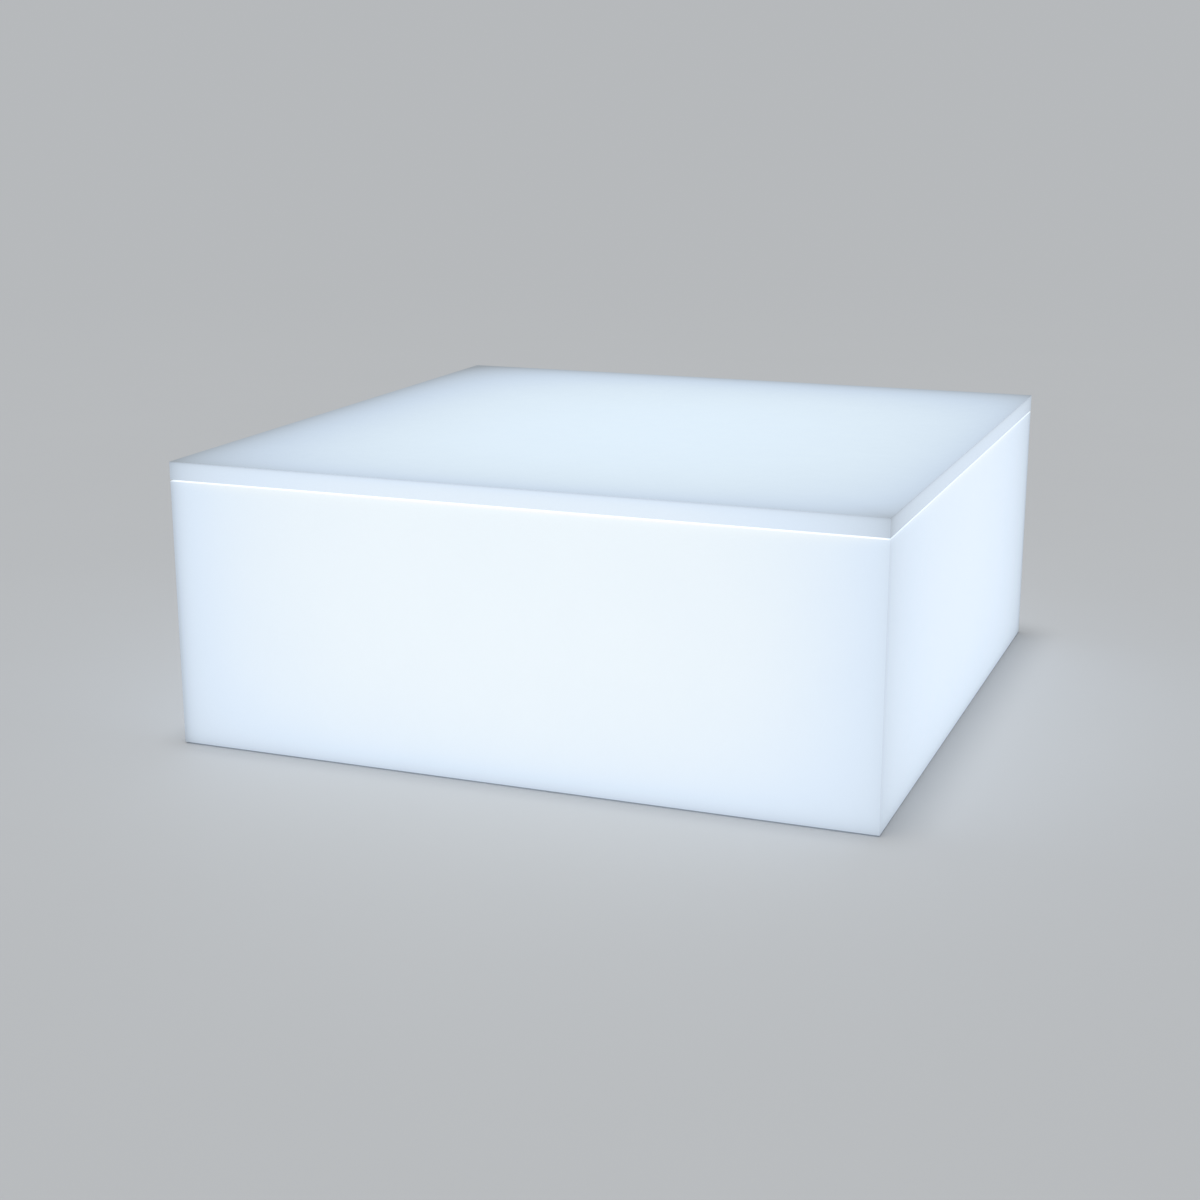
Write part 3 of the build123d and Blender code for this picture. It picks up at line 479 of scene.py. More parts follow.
def metal(name, colour, roughness, stretch=(1, 1, 1)):
    """Plated or drawn metal, its fine lines drawn out by stretch."""
    finish = Finish(name, tuple(colour), roughness, metallic=1.0)
    finish.vary(finish.cloud(1.5 * MM, 3.0, stretch), 0.04)
    finish.polish(finish.cloud(0.6 * MM, 3.0, stretch), 0.12)
    finish.emboss(finish.cloud(0.25 * MM, 2.0, stretch), 0.003 * MM)
    return finish


def turned_steel(name, colour, centre):
    """Steel faced on a lathe: fine rings about a centre on the back wall."""
    finish = Finish(name, tuple(colour), 0.28, metallic=1.0)
    x, _, z = finish.axes()
    across = finish.maths("SUBTRACT", x, centre.x)
    up = finish.maths("SUBTRACT", z, centre.z)
    square = finish.maths("ADD", finish.product(across, across), finish.product(up, up))
    ring_pitch = 0.12 * MM
    wave = finish.maths("SINE", finish.maths("DIVIDE", finish.maths("SQRT", square), ring_pitch / math.tau))
    rings = finish.maths("MULTIPLY_ADD", wave, 0.5, 0.5)
    finish.vary(rings, 0.05)
    finish.polish(finish.cloud(1.2 * MM), 0.15)
    finish.emboss(rings, 0.004 * MM)
    return finish


def base_sheet(settings):
    """White rigid foam sheet with a faint matte grain."""
    finish = Finish("base_board", tuple(settings.board), 0.66, shine=0.3)
    finish.vary(finish.cloud(45 * MM, 4.0), 0.025)
    finish.polish(finish.cloud(8 * MM), 0.12)
    finish.emboss(finish.cloud(0.8 * MM, 3.0), 0.05 * MM)
    return finish


def bar_mask(settings):
    """White solder mask over the aluminium of the LED bars."""
    finish = Finish("bar_board", tuple(settings.mask), 0.36)
    finish.vary(finish.cloud(5 * MM, 3.0), 0.03)
    finish.polish(finish.cloud(2 * MM), 0.1)
    finish.emboss(finish.cloud(1.1 * MM, 2.0, (1, 3, 1)), 0.015 * MM)
    return finish


def phosphor(settings):
    """Lit phosphor of the LEDs, with its fine grains."""
    finish = Finish("led_phosphor", tuple(settings.phosphor), 0.7, shine=0.2)
    grains = finish.cloud(0.25 * MM, 2.0)
    finish.vary(grains, 0.06)
    finish.light(tuple(settings.led_light), finish.maths("MULTIPLY_ADD", grains, 0.3, 0.8))
    finish.emboss(grains, 0.02 * MM)
    return finish


def lens_plastic(settings):
    """Clear moulded lenses, with the LED's light in them."""
    finish = Finish("lens_plastic", (0.94, 0.97, 1.0), 0.12)
    finish.set("IOR", 1.49)
    finish.set("Transmission Weight", 0.7)
    glow = finish.cloud(2.5 * MM, 1.0)
    finish.light(tuple(settings.led_light), finish.maths("MULTIPLY_ADD", glow, 0.08, 0.1))
    finish.polish(finish.cloud(1.0 * MM), 0.08)
    finish.emboss(finish.cloud(1.5 * MM, 1.0), 0.02 * MM)
    return finish


def silicone_cap():
    """Milky silicone with a soft skin."""
    finish = Finish("silicone", (0.78, 0.8, 0.82), 0.5, shine=0.35)
    finish.set("Subsurface Weight", 0.25)
    finish.set("Subsurface Scale", 3 * MM)
    finish.vary(finish.cloud(6 * MM, 2.0), 0.03)
    finish.polish(finish.cloud(4 * MM), 0.12)
    finish.emboss(finish.cloud(1.0 * MM), 0.03 * MM)
    return finish


def cell_sleeve():
    """Blue shrink sleeve over the cells, faintly wrinkled."""
    finish = Finish("cell_sleeve", (0.05, 0.17, 0.36), 0.32)
    finish.vary(finish.cloud(14 * MM, 2.0), 0.06)
    finish.polish(finish.cloud(4 * MM), 0.14)
    finish.emboss(finish.cloud(5 * MM, 2.0, (6, 1, 1)), 0.08 * MM)
    return finish


def circuit_board():
    """Green solder mask over woven glass."""
    finish = Finish("circuit_board", (0.02, 0.12, 0.055), 0.34)
    x, y, _ = finish.axes()
    thread = 0.9 * MM / math.tau
    warp = finish.maths("SINE", finish.maths("DIVIDE", x, thread))
    weft = finish.maths("SINE", finish.maths("DIVIDE", y, thread))
    weave = finish.maths("MULTIPLY_ADD", finish.product(warp, weft), 0.5, 0.5)
    finish.vary(weave, 0.12)
    finish.polish(finish.cloud(5 * MM), 0.1)
    finish.emboss(weave, 0.012 * MM)
    return finish


def board_components():
    """Capacitors, ferrite coils, black chips and the heat sink, told apart by their place along X."""
    finish = Finish("board_components", (0.5, 0.51, 0.53), 0.4)
    x, _, _ = finish.axes()
    low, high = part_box("board_parts")
    capacitor_strip = 11 * MM
    coil_strip = 18.5 * MM
    sink_strip = 31 * MM
    coils_from = low.x + capacitor_strip
    chips_from = coils_from + coil_strip
    sink_from = high.x - sink_strip
    ferrite = finish.maths("GREATER_THAN", x, coils_from)
    chips = finish.maths("GREATER_THAN", x, chips_from)
    sink = finish.maths("GREATER_THAN", x, sink_from)
    colour = finish.blend(ferrite, (0.62, 0.63, 0.66), (0.09, 0.085, 0.085))
    colour = finish.blend(chips, colour, (0.02, 0.02, 0.022))
    colour = finish.blend(sink, colour, (0.4, 0.41, 0.43))
    finish.set("Base Color", colour)
    bright = finish.maths("SUBTRACT", 1.0, finish.maths("SUBTRACT", ferrite, sink))
    finish.set("Metallic", bright)
    finish.polish(finish.cloud(1.5 * MM, 3.0), 0.2)
    finish.emboss(finish.cloud(0.6 * MM, 2.0), 0.02 * MM)
    return finish


def lead_jacket(settings):
    """White jacket of the leads, faintly uneven."""
    finish = Finish("lead_jacket", tuple(settings.lead), 0.46)
    finish.vary(finish.cloud(7 * MM, 2.0), 0.03)
    finish.polish(finish.cloud(2 * MM), 0.1)
    finish.emboss(finish.cloud(2.2 * MM, 1.0), 0.04 * MM)
    return finish


# Mesh tools

class Work:
    """Mesh of one made piece while it is being built."""

    def __init__(self):
        self.mesh = bmesh.new()

    def skin(self, rows, place, round_first=False):
        """Quads between rows of points. Each row closes on itself, and so do the rows if asked."""
        grid = [[self.mesh.verts.new(place @ Vector(point)) for point in row] for row in rows]
        pairs = list(zip(grid, grid[1:]))
        if round_first:
            pairs.append((grid[-1], grid[0]))
        for lower, upper in pairs:
            for i in range(len(lower)):
                j = (i + 1) % len(lower)
                self.mesh.faces.new((lower[i], lower[j], upper[j], upper[i]))
        return grid

    def lathe(self, profile, place, steps=40):
        """Closed outline of (radius, height) points, turned about the place's Z axis."""
        rows = []
        for step in range(steps):
            turn = math.tau * step / steps
            rows.append([(r * math.cos(turn), r * math.sin(turn), h) for r, h in profile])
        self.skin(rows, place, round_first=True)

    def prism(self, layers, place):
        """Closed shape through outlines of equal counts, with flat ends."""
        grid = self.skin(layers, place)
        self.mesh.faces.new(list(reversed(grid[0])))
        self.mesh.faces.new(grid[-1])

    def bar(self, length, width, height, ease, place):
        """Bar lying along X with its top edges eased."""
        layers = []
        for inset, z in ((0.0, 0.0), (0.0, height - ease), (ease, height)):
            layers.append(rectangle(length / 2 - inset, width / 2 - inset, z))
        self.prism(layers, place)

    def weld(self):
        """Joins points that lie on each other."""
        bmesh.ops.remove_doubles(self.mesh, verts=self.mesh.verts, dist=1e-7)

    def shape(self, name, finish):
        """Turns the mesh into an object with a finish."""
        data = bpy.data.meshes.new(name)
        self.mesh.to_mesh(data)
        self.mesh.free()
        data.materials.append(finish.material)
        made = bpy.data.objects.new(name, data)
        bpy.context.scene.collection.objects.link(made)
        return made

    def piece(self, name, body, slot, finish, smooth_below=40.0):
        """Turns the mesh into a piece that rides on a body.

        Edges that turn by more than smooth_below degrees stay sharp.
        """
        self.weld()
        bmesh.ops.recalc_face_normals(self.mesh, faces=self.mesh.faces)
        for face in self.mesh.faces:
            face.smooth = True
        for edge in self.mesh.edges:
            if len(edge.link_faces) == 2 and edge.calc_face_angle() > math.radians(smooth_below):
                edge.smooth = False
        made = self.shape(name, finish)
        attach(made, body)
        return made


def rectangle(half_x, half_y, z):
    """Four corners of a level rectangle."""
    return [(-half_x, -half_y, z), (half_x, -half_y, z), (half_x, half_y, z), (-half_x, half_y, z)]


def rounded_rectangle(half_x, half_y, radius, z, steps=6):
    """Level rectangle with round corners."""
    points = []
    for corner, (sx, sy) in enumerate(((1, 1), (-1, 1), (-1, -1), (1, -1))):
        for step in range(steps + 1):
            turn = math.pi / 2 * (corner + step / steps)
            x = sx * (half_x - radius) + radius * math.cos(turn)
            y = sy * (half_y - radius) + radius * math.sin(turn)
            points.append((x, y, z))
    return points


def at(x, y, z, towards=None):
    """Place whose Z axis points along a direction, or up."""
    place = Matrix.Translation((x, y, z))
    if towards is None:
        return place
    return place @ Vector(towards).to_track_quat("Z", "Y").to_matrix().to_4x4()


def middle(node):
    """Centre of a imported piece."""
    low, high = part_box(node)
    return (low + high) / 2


def bar_xs():
    """Middles of the LED bars across the table."""
    return [middle("led_bar_" + str(i + 1)).x for i in range(BAR_COUNT)]


def chip_half():
    """Half the width of an LED."""
    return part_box("led_chips")[1].x - max(bar_xs())


def lens_ys():
    """Middles of the LEDs along a bar."""
    low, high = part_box("led_chips")
    first = low.y + chip_half()
    pitch = (high.y - chip_half() - first) / (LENS_ROWS - 1)
    return [first + pitch * i for i in range(LENS_ROWS)]


# Made pieces

def led_frames():
    """White package round each LED, its inner walls sloping out to throw the light."""
    work = Work()
    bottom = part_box("led_chips")[0].z
    half = chip_half()
    outer = half + 0.45 * MM
    corner = 0.4 * MM
    sections = ((outer, 0.0), (outer, 0.95 * MM), (half + 0.3 * MM, 1.05 * MM), (half + 0.05 * MM, 0.0))
    rows = [rounded_rectangle(r, r, corner, z, 2) for r, z in sections]
    for x in bar_xs():
        for y in lens_ys():
            work.skin(rows, at(x, y, bottom), True)
    finish = moulded("led_package", (0.82, 0.82, 0.8), 0.5, 0.3 * MM, 0.01 * MM)
    return work.piece("led_frames", "table", "white_moulding", finish)


def bar_tracks():
    """Tinned supply tracks along the bars, with a round pad beside each lens."""
    work = Work()
    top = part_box("led_bar_1")[1].z
    offset = 9.6 * MM
    pad_room = 3.4 * MM
    width = 0.9 * MM
    height = 0.05 * MM
    pad = [(1.3 * MM, 0.0), (1.3 * MM, 0.1 * MM), (1.1 * MM, 0.16 * MM), (0.0, 0.2 * MM), (0.0, 0.0)]
    ys = lens_ys()
    for x in bar_xs():
        for side in (-1, 1):
            edge = x + side * offset
            for y, following in zip(ys, ys[1:]):
                place = at(edge, (y + following) / 2, top) @ Matrix.Rotation(math.pi / 2, 4, "Z")
                work.bar(following - y - pad_room, width, height, height / 2, place)
            for y in ys:
                work.lathe(pad, at(edge, y, top), 16)
    return work.piece("bar_tracks", "table", "nickel", metal("tinned_copper", (0.62, 0.61, 0.58), 0.3))


def terminal_screws():
    """Clamp screws in raised collars on the lead terminals."""
    work = Work()
    low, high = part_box("bar_terminals")
    behind_middle = 2.5 * MM
    half_spacing = 4 * MM
    head = 0.55 * MM
    cheek_offset = 0.72 * MM
    first_turn = 0.5
    further_turn = 0.9
    y = (low.y + high.y) / 2 + behind_middle
    collar = [
        (2.2 * MM, 0.0), (3.0 * MM, 0.0), (3.0 * MM, 0.7 * MM), (2.8 * MM, 0.9 * MM), (2.3 * MM, 0.9 * MM),
        (2.2 * MM, 0.8 * MM),
    ]
    disc = [(0.0, 0.0), (2.1 * MM, 0.0), (2.1 * MM, 0.4 * MM), (1.9 * MM, head), (0.0, head)]
    for bar, x in enumerate(bar_xs()):
        for side in (-1, 1):
            spot = at(x + side * half_spacing, y, high.z)
            work.lathe(collar, spot, 28)
            work.lathe(disc, spot, 28)
            turn = Matrix.Rotation(first_turn + further_turn * bar * side, 4, "Z")
            for half in (-1, 1):
                cheek = spot @ at(0, 0, head) @ turn @ at(0, half * cheek_offset, 0)
                work.bar(3.2 * MM, 0.75 * MM, 0.2 * MM, 0.06 * MM, cheek)
    steel = metal("clamp_steel", (0.58, 0.59, 0.6), 0.34)
    return work.piece("terminal_screws", "table", "screw_steel", steel)


def boot_places():
    """The leads' radius, and where each meets a gland, a terminal or a device, with the way it points."""
    low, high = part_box("battery_lead")
    radius = (high.z - low.z) / 2
    level = (low.z + high.z) / 2
    places = [(low.x + radius, low.y, level, 1), (high.x - radius, high.y, level, -1)]
    for name in ("charge_lead", "switch_lead"):
        low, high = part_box(name)
        x = (low.x + high.x) / 2
        places.append((x, low.y, low.z + radius, 1))
        places.append((x, high.y, high.z - radius, -1))
    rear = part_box("bar_terminals")[1].y
    low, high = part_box("feed_leads")
    outlet_inset = 16 * MM
    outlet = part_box("controller_case")[1].x - outlet_inset
    outer_end = high.x - radius
    inner_bar = max(x for x in bar_xs() if x < max(bar_xs()))
    link_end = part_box("link_leads")[1].x - radius
    for side in (-1, 1):
        places.append((side * outlet, low.y, level, 1))
        for x in (outer_end, 2 * inner_bar - outer_end, link_end):
            places.append((side * x, rear, level, 1))
    return radius, places


def lead_boots(settings):
    """Ribbed boots that take the bend off the leads where they enter a case or a terminal."""
    work = Work()
    radius, places = boot_places()
    inner = radius + 0.03 * MM
    first_wall = 1.5 * MM
    taper = 0.3 * MM
    groove = 0.35 * MM
    profile = [(inner, 0.0), (radius + first_wall, 0.0)]
    step = settings.boot_length / settings.boot_ribs
    for rib in range(settings.boot_ribs):
        outer = radius + first_wall - taper * rib
        profile += [
            (outer, (rib + 0.55) * step), (outer - groove, (rib + 0.65) * step),
            (outer - groove, (rib + 0.95) * step),
        ]
    profile.append((inner, settings.boot_length))
    for x, y, z, way in places:
        work.lathe(profile, at(x, y, z, (0, way, 0)), 28)
    finish = moulded("boot_plastic", (0.74, 0.75, 0.76), 0.55)
    return work.piece("lead_boots", "table", "lead_jacket", finish)


def battery_ribs(finish):
    """Stiffening ribs moulded on the battery's cover, inside a raised frame."""
    work = Work()
    low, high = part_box("battery_cover")
    centre = middle("battery_cover")
    margin = 6 * MM
    corner = 4 * MM
    rib_end_gap = 8 * MM
    width = 1.6 * MM
    height = 0.9 * MM
    draft = 0.15 * MM
    half_x = (high.x - low.x) / 2 - margin
    half_y = (high.y - low.y) / 2 - margin
    sections = ((0.0, 0.0), (draft, height), (width - draft, height), (width, 0.0))
    rows = [rounded_rectangle(half_x - r, half_y - r, corner - r, z, 5) for r, z in sections]
    work.skin(rows, at(centre.x, centre.y, high.z), True)
    ribs = 9
    pitch = 2 * half_x / (ribs + 1)
    for rib in range(ribs):
        x = centre.x - half_x + pitch * (rib + 1)
        place = at(x, centre.y, high.z) @ Matrix.Rotation(math.pi / 2, 4, "Z")
        work.bar(2 * (half_y - rib_end_gap), width, height, 0.2 * MM, place)
    return work.piece("battery_cover_ribs", "table", "white_moulding", finish)


def controller_louvres(finish):
    """Two rows of hooded vents on the controller's cover."""
    work = Work()
    low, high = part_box("controller_cover")
    centre = middle("controller_cover")
    count = 9
    pitch = 8.5 * MM
    length = 24 * MM
    section = ((-2.4 * MM, 0.0), (2.2 * MM, 0.0), (2.2 * MM, 1.5 * MM), (1.2 * MM, 1.9 * MM))
    hood = []
    for along, rise in ((-0.5, 0.5), (-0.44, 1.0), (0.44, 1.0), (0.5, 0.5)):
        hood.append([(across, along * length, height * rise) for across, height in section])
    for row in (-1, 1):
        y = centre.y + row * (high.y - low.y) / 4
        for step in range(count):
            x = centre.x + (step - (count - 1) / 2) * pitch
            work.prism(hood, at(x, y, high.z))
    return work.piece("controller_vents", "table", "white_moulding", finish)


def foot_washers(settings):
    """Steel washers round the screw heads in the feet."""
    work = Work()
    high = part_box("rubber_feet")[1]
    recess_depth = high.z / 2
    foot_radius = 15 * MM
    reach_x = high.x - foot_radius
    reach_y = high.y - foot_radius
    spots = [(-reach_x, -reach_y), (reach_x, -reach_y), (-reach_x, reach_y), (reach_x, reach_y), (0.0, 0.0)]
    ring = [
        (4.05 * MM, 0.0), (5.35 * MM, 0.0), (5.35 * MM, 0.45 * MM), (5.2 * MM, 0.6 * MM),
        (4.2 * MM, 0.6 * MM), (4.05 * MM, 0.45 * MM),
    ]
    for x, y in spots:
        work.lathe(ring, at(x, y, recess_depth, (0, 0, -1)))
    return work.piece("foot_washers", "table", "screw_steel", metal("washer_steel", settings.steel, 0.38))


def button_bezel(finish):
    """Domed nickel ring round the power button."""
    work = Work()
    spot = middle("power_button")
    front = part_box("switch_body")[1].y
    ring = [
        (4.7 * MM, 0.0), (7.5 * MM, 0.0), (7.5 * MM, 0.15 * MM), (7.1 * MM, 0.5 * MM), (6.2 * MM, 0.78 * MM),
        (5.4 * MM, 0.72 * MM), (4.9 * MM, 0.4 * MM), (4.7 * MM, 0.1 * MM),
    ]
    work.lathe(ring, at(spot.x, front, spot.z, (0, 1, 0)), 64)
    return work.piece("button_bezel", "table", "nickel", finish)


def socket_sleeve(finish):
    """Spring sleeve that lines the charging socket, with a rolled mouth."""
    work = Work()
    spot = middle("charge_socket")
    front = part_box("charge_socket")[1].y
    length = 8.8 * MM
    mouth_inset = 0.4 * MM
    ring = [
        (2.72 * MM, 0.0), (2.98 * MM, 0.0), (2.98 * MM, length - 0.2 * MM), (2.9 * MM, length),
        (2.78 * MM, length), (2.7 * MM, length - 0.25 * MM),
    ]
    work.lathe(ring, at(spot.x, front - length - mouth_inset, spot.z, (0, 1, 0)), 48)
    return work.piece("socket_sleeve", "table", "nickel", finish)


def return_spring(finish):
    """Coil spring behind the power button, made at its rest length; it does not shorten as the button goes
    in.
    """
    low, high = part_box("button_spring")
    wire_radius = 0.3 * MM
    turns = 5
    steps = 32
    wire_sides = 12
    coil_radius = (high.x - low.x) / 2 - wire_radius
    pitch = (high.y - low.y - 2 * wire_radius) / turns
    centre = (low + high) / 2
    rows = []
    for step in range(turns * steps + 1):
        turn = math.tau * step / steps
        out = Vector((math.cos(turn), 0.0, math.sin(turn)))
        start = Vector((centre.x, low.y + wire_radius + pitch * step / steps, centre.z))
        along = Vector((-out.z * coil_radius, pitch / math.tau, out.x * coil_radius)).normalized()
        side = along.cross(out)
        ring = []
        for corner in range(wire_sides):
            angle = math.tau * corner / wire_sides
            offset = out * math.cos(angle) + side * math.sin(angle)
            ring.append(start + out * coil_radius + offset * wire_radius)
        rows.append(ring)
    work = Work()
    work.prism(rows, Matrix.Identity(4))
    spring = work.piece("return_spring", "table", "spring_steel", finish)
    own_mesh(spring)
    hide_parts("button_spring")


def window_bead():
    """Bead of clear cement round the control window, where the plate meets the wall."""
    work = Work()
    low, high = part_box("control_plate")
    plate_border = 8 * MM
    window_corner = 6 * MM
    centre = middle("control_plate")
    half_x = (high.x - low.x) / 2 - plate_border
    half_z = (high.z - low.z) / 2 - plate_border
    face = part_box("back_panel")[1].y - wall_thickness
    sections = ((0.05 * MM, 0.02 * MM), (0.05 * MM, 0.9 * MM), (0.4 * MM, 0.42 * MM), (1.0 * MM, 0.02 * MM))
    rows = [rounded_rectangle(half_x - r, half_z - r, window_corner - r, h, 8) for r, h in sections]
    work.skin(rows, at(centre.x, face, centre.z, (0, 1, 0)), True)
    finish = moulded("clear_cement", (0.78, 0.82, 0.85), 0.2, 1.5 * MM, 0.05 * MM)
    return work.piece("window_bead", "table", "clear_acrylic", finish)


# Stage

def pale_floor(settings):
    """Round matte floor that passes into the backdrop's colour far from the table."""
    finish = Finish("floor", tuple(settings.floor), 0.62, shine=0.25)
    finish.vary(finish.cloud(500 * MM, 3.0), 0.012)
    finish.polish(finish.cloud(80 * MM, 3.0), 0.06)
    finish.emboss(finish.cloud(4 * MM, 2.0), 0.02 * MM)
    far = finish.add("ShaderNodeEmission")
    finish.feed(far.inputs["Color"], (*settings.backdrop, 1.0))
    distance = finish.add("ShaderNodeVectorMath", operation="LENGTH")
    finish.feed(distance.inputs[0], finish.place)
    change_from = 2.2
    change_to = 6.5
    mix = finish.add("ShaderNodeMixShader")
    finish.feed(mix.inputs[0], finish.ramp(distance.outputs["Value"], change_from, change_to))
    finish.feed(mix.inputs[1], finish.surface.outputs[0])
    finish.feed(mix.inputs[2], far.outputs[0])
    output = next(n for n in finish.tree.nodes if n.type == "OUTPUT_MATERIAL")
    finish.feed(output.inputs["Surface"], mix.outputs[0])
    work = Work()
    edge = settings.floor_radius
    underside = -10 * MM
    work.lathe([(0.0, 0.0), (edge, 0.0), (edge, underside), (0.0, underside)], Matrix.Identity(4), 96)
    work.weld()
    work.shape("floor", finish)


def surroundings(settings):
    """Even light from all round. The camera, gloss and clear pieces see the backdrop's colour instead."""
    world = bpy.data.worlds.new("studio")
    bpy.context.scene.world = world
    world.use_nodes = True
    tree = world.node_tree
    tree.nodes.clear()
    path = tree.nodes.new("ShaderNodeLightPath")
    seen = path.outputs["Is Camera Ray"]
    for name in ("Is Glossy Ray", "Is Transmission Ray"):
        either = tree.nodes.new("ShaderNodeMath")
        either.operation = "MAXIMUM"
        tree.links.new(seen, either.inputs[0])
        tree.links.new(path.outputs[name], either.inputs[1])
        seen = either.outputs[0]
    ambient = tree.nodes.new("ShaderNodeBackground")
    ambient.inputs["Color"].default_value = (1.0, 1.0, 1.0, 1.0)
    ambient.inputs["Strength"].default_value = settings.ambient
    backdrop = tree.nodes.new("ShaderNodeBackground")
    backdrop.inputs["Color"].default_value = (*settings.backdrop, 1.0)
    mix = tree.nodes.new("ShaderNodeMixShader")
    tree.links.new(seen, mix.inputs[0])
    tree.links.new(ambient.outputs[0], mix.inputs[1])
    tree.links.new(backdrop.outputs[0], mix.inputs[2])
    output = tree.nodes.new("ShaderNodeOutputWorld")
    tree.links.new(mix.outputs[0], output.inputs["Surface"])


def key_light(settings):
    """One soft light from almost straight above."""
    lamp = bpy.data.lights.new("key", "SUN")
    lamp_distance = 4.0
    source = Vector(settings.key_from).normalized()
    lamp.energy = settings.key_level * math.pi / source.z
    lamp.angle = settings.key_spread
    key = bpy.data.objects.new("key", lamp)
    key.location = source * lamp_distance
    key.rotation_mode = "QUATERNION"
    key.rotation_quaternion = (-source).to_track_quat("-Z", "Y")
    bpy.context.scene.collection.objects.link(key)


def camera(settings):
    """Camera at the photograph's viewpoint."""
    turn = settings.camera_azimuth
    rise = settings.camera_elevation
    back = Vector((math.sin(turn) * math.cos(rise), -math.cos(turn) * math.cos(rise), math.sin(rise)))
    lens = bpy.data.cameras.new("camera")
    lens.lens = settings.camera_lens
    lens.clip_start = 0.05
    lens.clip_end = 200.0
    made = bpy.data.objects.new("camera", lens)
    made.location = Vector(settings.camera_aim) + back * settings.camera_distance
    made.rotation_mode = "QUATERNION"
    level = (-back).to_track_quat("-Z", "Y").to_matrix()
    made.rotation_quaternion = (level @ Matrix.Rotation(settings.camera_roll, 3, "Z")).to_quaternion()
    bpy.context.scene.collection.objects.link(made)
    bpy.context.scene.camera = made
    bpy.context.scene.view_settings.view_transform = "Standard"


# Operators: one for each piece or group of like pieces, and one for the stage

class MakeWalls(bpy.types.Operator):
    """Opal walls with the light that comes through them"""

    bl_idname = "lit_table.walls"
    bl_label = "Walls"

    def execute(self, context):
        walls = upright_opal(context.scene.lit_table.opal, "opal_walls", wall_level)
        walls.onto(*(side + "_panel" for side in SIDES))
        return {"FINISHED"}


class MakeLid(bpy.types.Operator):
    """Opal sheet of the lid and its four downturned edges"""

    bl_idname = "lit_table.lid"
    bl_label = "Lid"

    def execute(self, context):
        settings = context.scene.lit_table.opal
        lid_opal(settings).onto("lid_panel")
        skirt = upright_opal(settings, "opal_lid_edge", skirt_level)
        skirt.onto(*("lid_skirt_" + side for side in SIDES))
        return {"FINISHED"}


class MakeClearParts(bpy.types.Operator):
    """Clear acrylic rails, corner blocks, lid rests and centre post, with the post's socket and cap"""

    bl_idname = "lit_table.clear_parts"
    bl_label = "Clear parts"

    def execute(self, context):
        settings = context.scene.lit_table.inner
        clear = clear_acrylic(settings)
        clear.onto("centre_post", *("corner_block_" + corner for corner in CORNERS))
        clear.onto(*(part + side for part in ("base_rail_", "lid_rest_") for side in SIDES))
        moulded("post_socket", settings.moulding, 0.52).onto("post_socket")
        silicone_cap().onto("post_cap")
        return {"FINISHED"}


class MakeBase(bpy.types.Operator):
    """Base plate, its screws, the rubber feet and their washers"""

    bl_idname = "lit_table.base"
    bl_label = "Base and feet"

    def execute(self, context):
        settings = context.scene.lit_table
        base_sheet(settings.inner).onto("base_plate")
        rubber("foot_rubber", settings.hardware.rubber).onto("rubber_feet")
        screws = metal("screw_steel", settings.hardware.steel, 0.36)
        screws.onto("base_screws", "foot_screws", "inner_screws", "plate_screws")
        foot_washers(settings.hardware)
        return {"FINISHED"}


class MakeLedBars(bpy.types.Operator):
    """LED bars with their packages, lenses, tracks and terminals"""

    bl_idname = "lit_table.led_bars"
    bl_label = "LED bars"

    def execute(self, context):
        settings = context.scene.lit_table.inner
        bar_mask(settings).onto(*("led_bar_" + str(i + 1) for i in range(BAR_COUNT)))
        phosphor(settings).onto("led_chips")
        lens_plastic(settings).onto("led_lenses")
        moulded("terminal_plastic", (0.74, 0.71, 0.62), 0.48).onto("bar_terminals")
        led_frames()
        bar_tracks()
        terminal_screws()
        return {"FINISHED"}


class MakeBattery(bpy.types.Operator):
    """Battery case, its ribbed cover and its cells"""

    bl_idname = "lit_table.battery"
    bl_label = "Battery"

    def execute(self, context):
        settings = context.scene.lit_table.inner
        shell = moulded("battery_moulding", settings.moulding, 0.55).onto("battery_case", "battery_cover")
        cell_sleeve().onto("battery_cells")
        battery_ribs(shell)
        return {"FINISHED"}


class MakeController(bpy.types.Operator):
    """Controller case, its vented cover, its board and the parts on it"""

    bl_idname = "lit_table.controller"
    bl_label = "Controller"

    def execute(self, context):
        settings = context.scene.lit_table.inner
        shell = moulded("controller_moulding", settings.moulding, 0.55)
        shell.onto("controller_case", "controller_cover")
        circuit_board().onto("controller_board")
        board_components().onto("board_parts")
        controller_louvres(shell)
        return {"FINISHED"}


class MakeControlPanel(bpy.types.Operator):
    """Control plate, charging socket with its cover, and power button"""

    bl_idname = "lit_table.control_panel"
    bl_label = "Control panel"

    def execute(self, context):
        settings = context.scene.lit_table.hardware
        moulded("control_plate", settings.plate, 0.5, 0.7 * MM, 0.035 * MM).onto("control_plate")
        nickel = metal("nickel", settings.nickel, 0.26).onto("panel_nuts", "switch_body")
        moulded("socket_black", (0.022, 0.022, 0.025), 0.3, 1.0 * MM, 0.01 * MM).onto("charge_socket")
        turned_steel("button_steel", (0.66, 0.67, 0.68), middle("power_button")).onto("power_button")
        return_spring(metal("spring_steel", (0.5, 0.51, 0.53), 0.3, (1, 1, 3)).onto("button_spring"))
        metal("pin_steel", (0.62, 0.63, 0.65), 0.22, (6, 1, 1)).onto("hinge_pin")
        rubber("cover_rubber", settings.cover).onto("port_cover")
        button_bezel(nickel)
        socket_sleeve(nickel)
        window_bead()
        return {"FINISHED"}


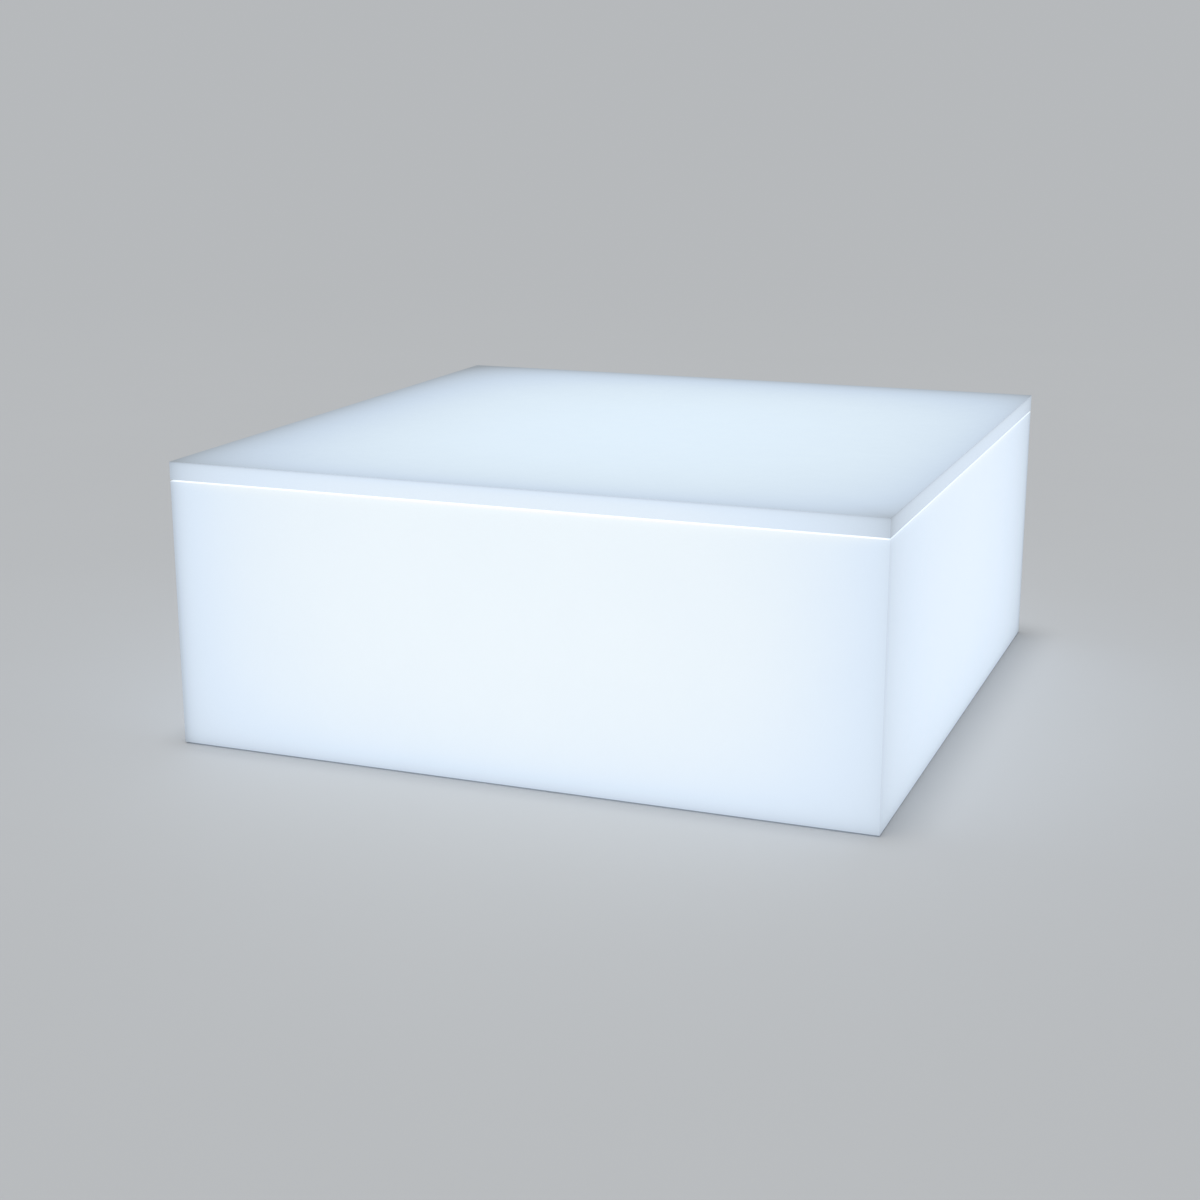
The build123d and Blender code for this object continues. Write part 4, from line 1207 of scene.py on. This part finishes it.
class MakeLeads(bpy.types.Operator):
    """Leads, their clips and their boots"""

    bl_idname = "lit_table.leads"
    bl_label = "Leads"

    def execute(self, context):
        settings = context.scene.lit_table
        jacket = lead_jacket(settings.inner)
        jacket.onto("battery_lead", "feed_leads", "link_leads", "charge_lead", "switch_lead")
        moulded("clip_nylon", (0.76, 0.76, 0.72), 0.5).onto("lead_clips")
        lead_boots(settings.hardware)
        return {"FINISHED"}


class MakeStage(bpy.types.Operator):
    """Pale floor, soft light and the camera"""

    bl_idname = "lit_table.stage"
    bl_label = "Stage"

    def execute(self, context):
        settings = context.scene.lit_table.stage
        pale_floor(settings)
        surroundings(settings)
        key_light(settings)
        camera(settings)
        return {"FINISHED"}


STEPS = (
    MakeWalls, MakeLid, MakeClearParts, MakeBase, MakeLedBars, MakeBattery, MakeController, MakeControlPanel,
    MakeLeads, MakeStage,
)


class LitTablePanel(bpy.types.Panel):
    """Steps and settings of the lit table"""

    bl_idname = "VIEW3D_PT_lit_table"
    bl_label = "Lit table"
    bl_space_type = "VIEW_3D"
    bl_region_type = "UI"
    bl_category = "Lit table"

    def draw(self, context):
        """Lists the steps, then each group of settings."""
        for step in STEPS:
            self.layout.operator(step.bl_idname)
        for group in ("opal", "inner", "hardware", "stage"):
            box = self.layout.box()
            box.label(text=group.capitalize())
            held = getattr(context.scene.lit_table, group)
            for name in type(held).__annotations__:
                box.prop(held, name)


CLASSES = (
    OpalSettings, InnerSettings, HardwareSettings, StageSettings, TableSettings, *STEPS, LitTablePanel,
)


def register():
    """Adds the classes and the settings."""
    for made in CLASSES:
        bpy.utils.register_class(made)
    bpy.types.Scene.lit_table = PointerProperty(type=TableSettings)


def unregister():
    """Takes the settings and the classes away again."""
    del bpy.types.Scene.lit_table
    for made in reversed(CLASSES):
        bpy.utils.unregister_class(made)


def main():
    """Builds the whole scene."""
    register()
    for step in STEPS:
        group, name = step.bl_idname.split(".")
        getattr(getattr(bpy.ops, group), name)()


if __name__ == "__main__":
    main()
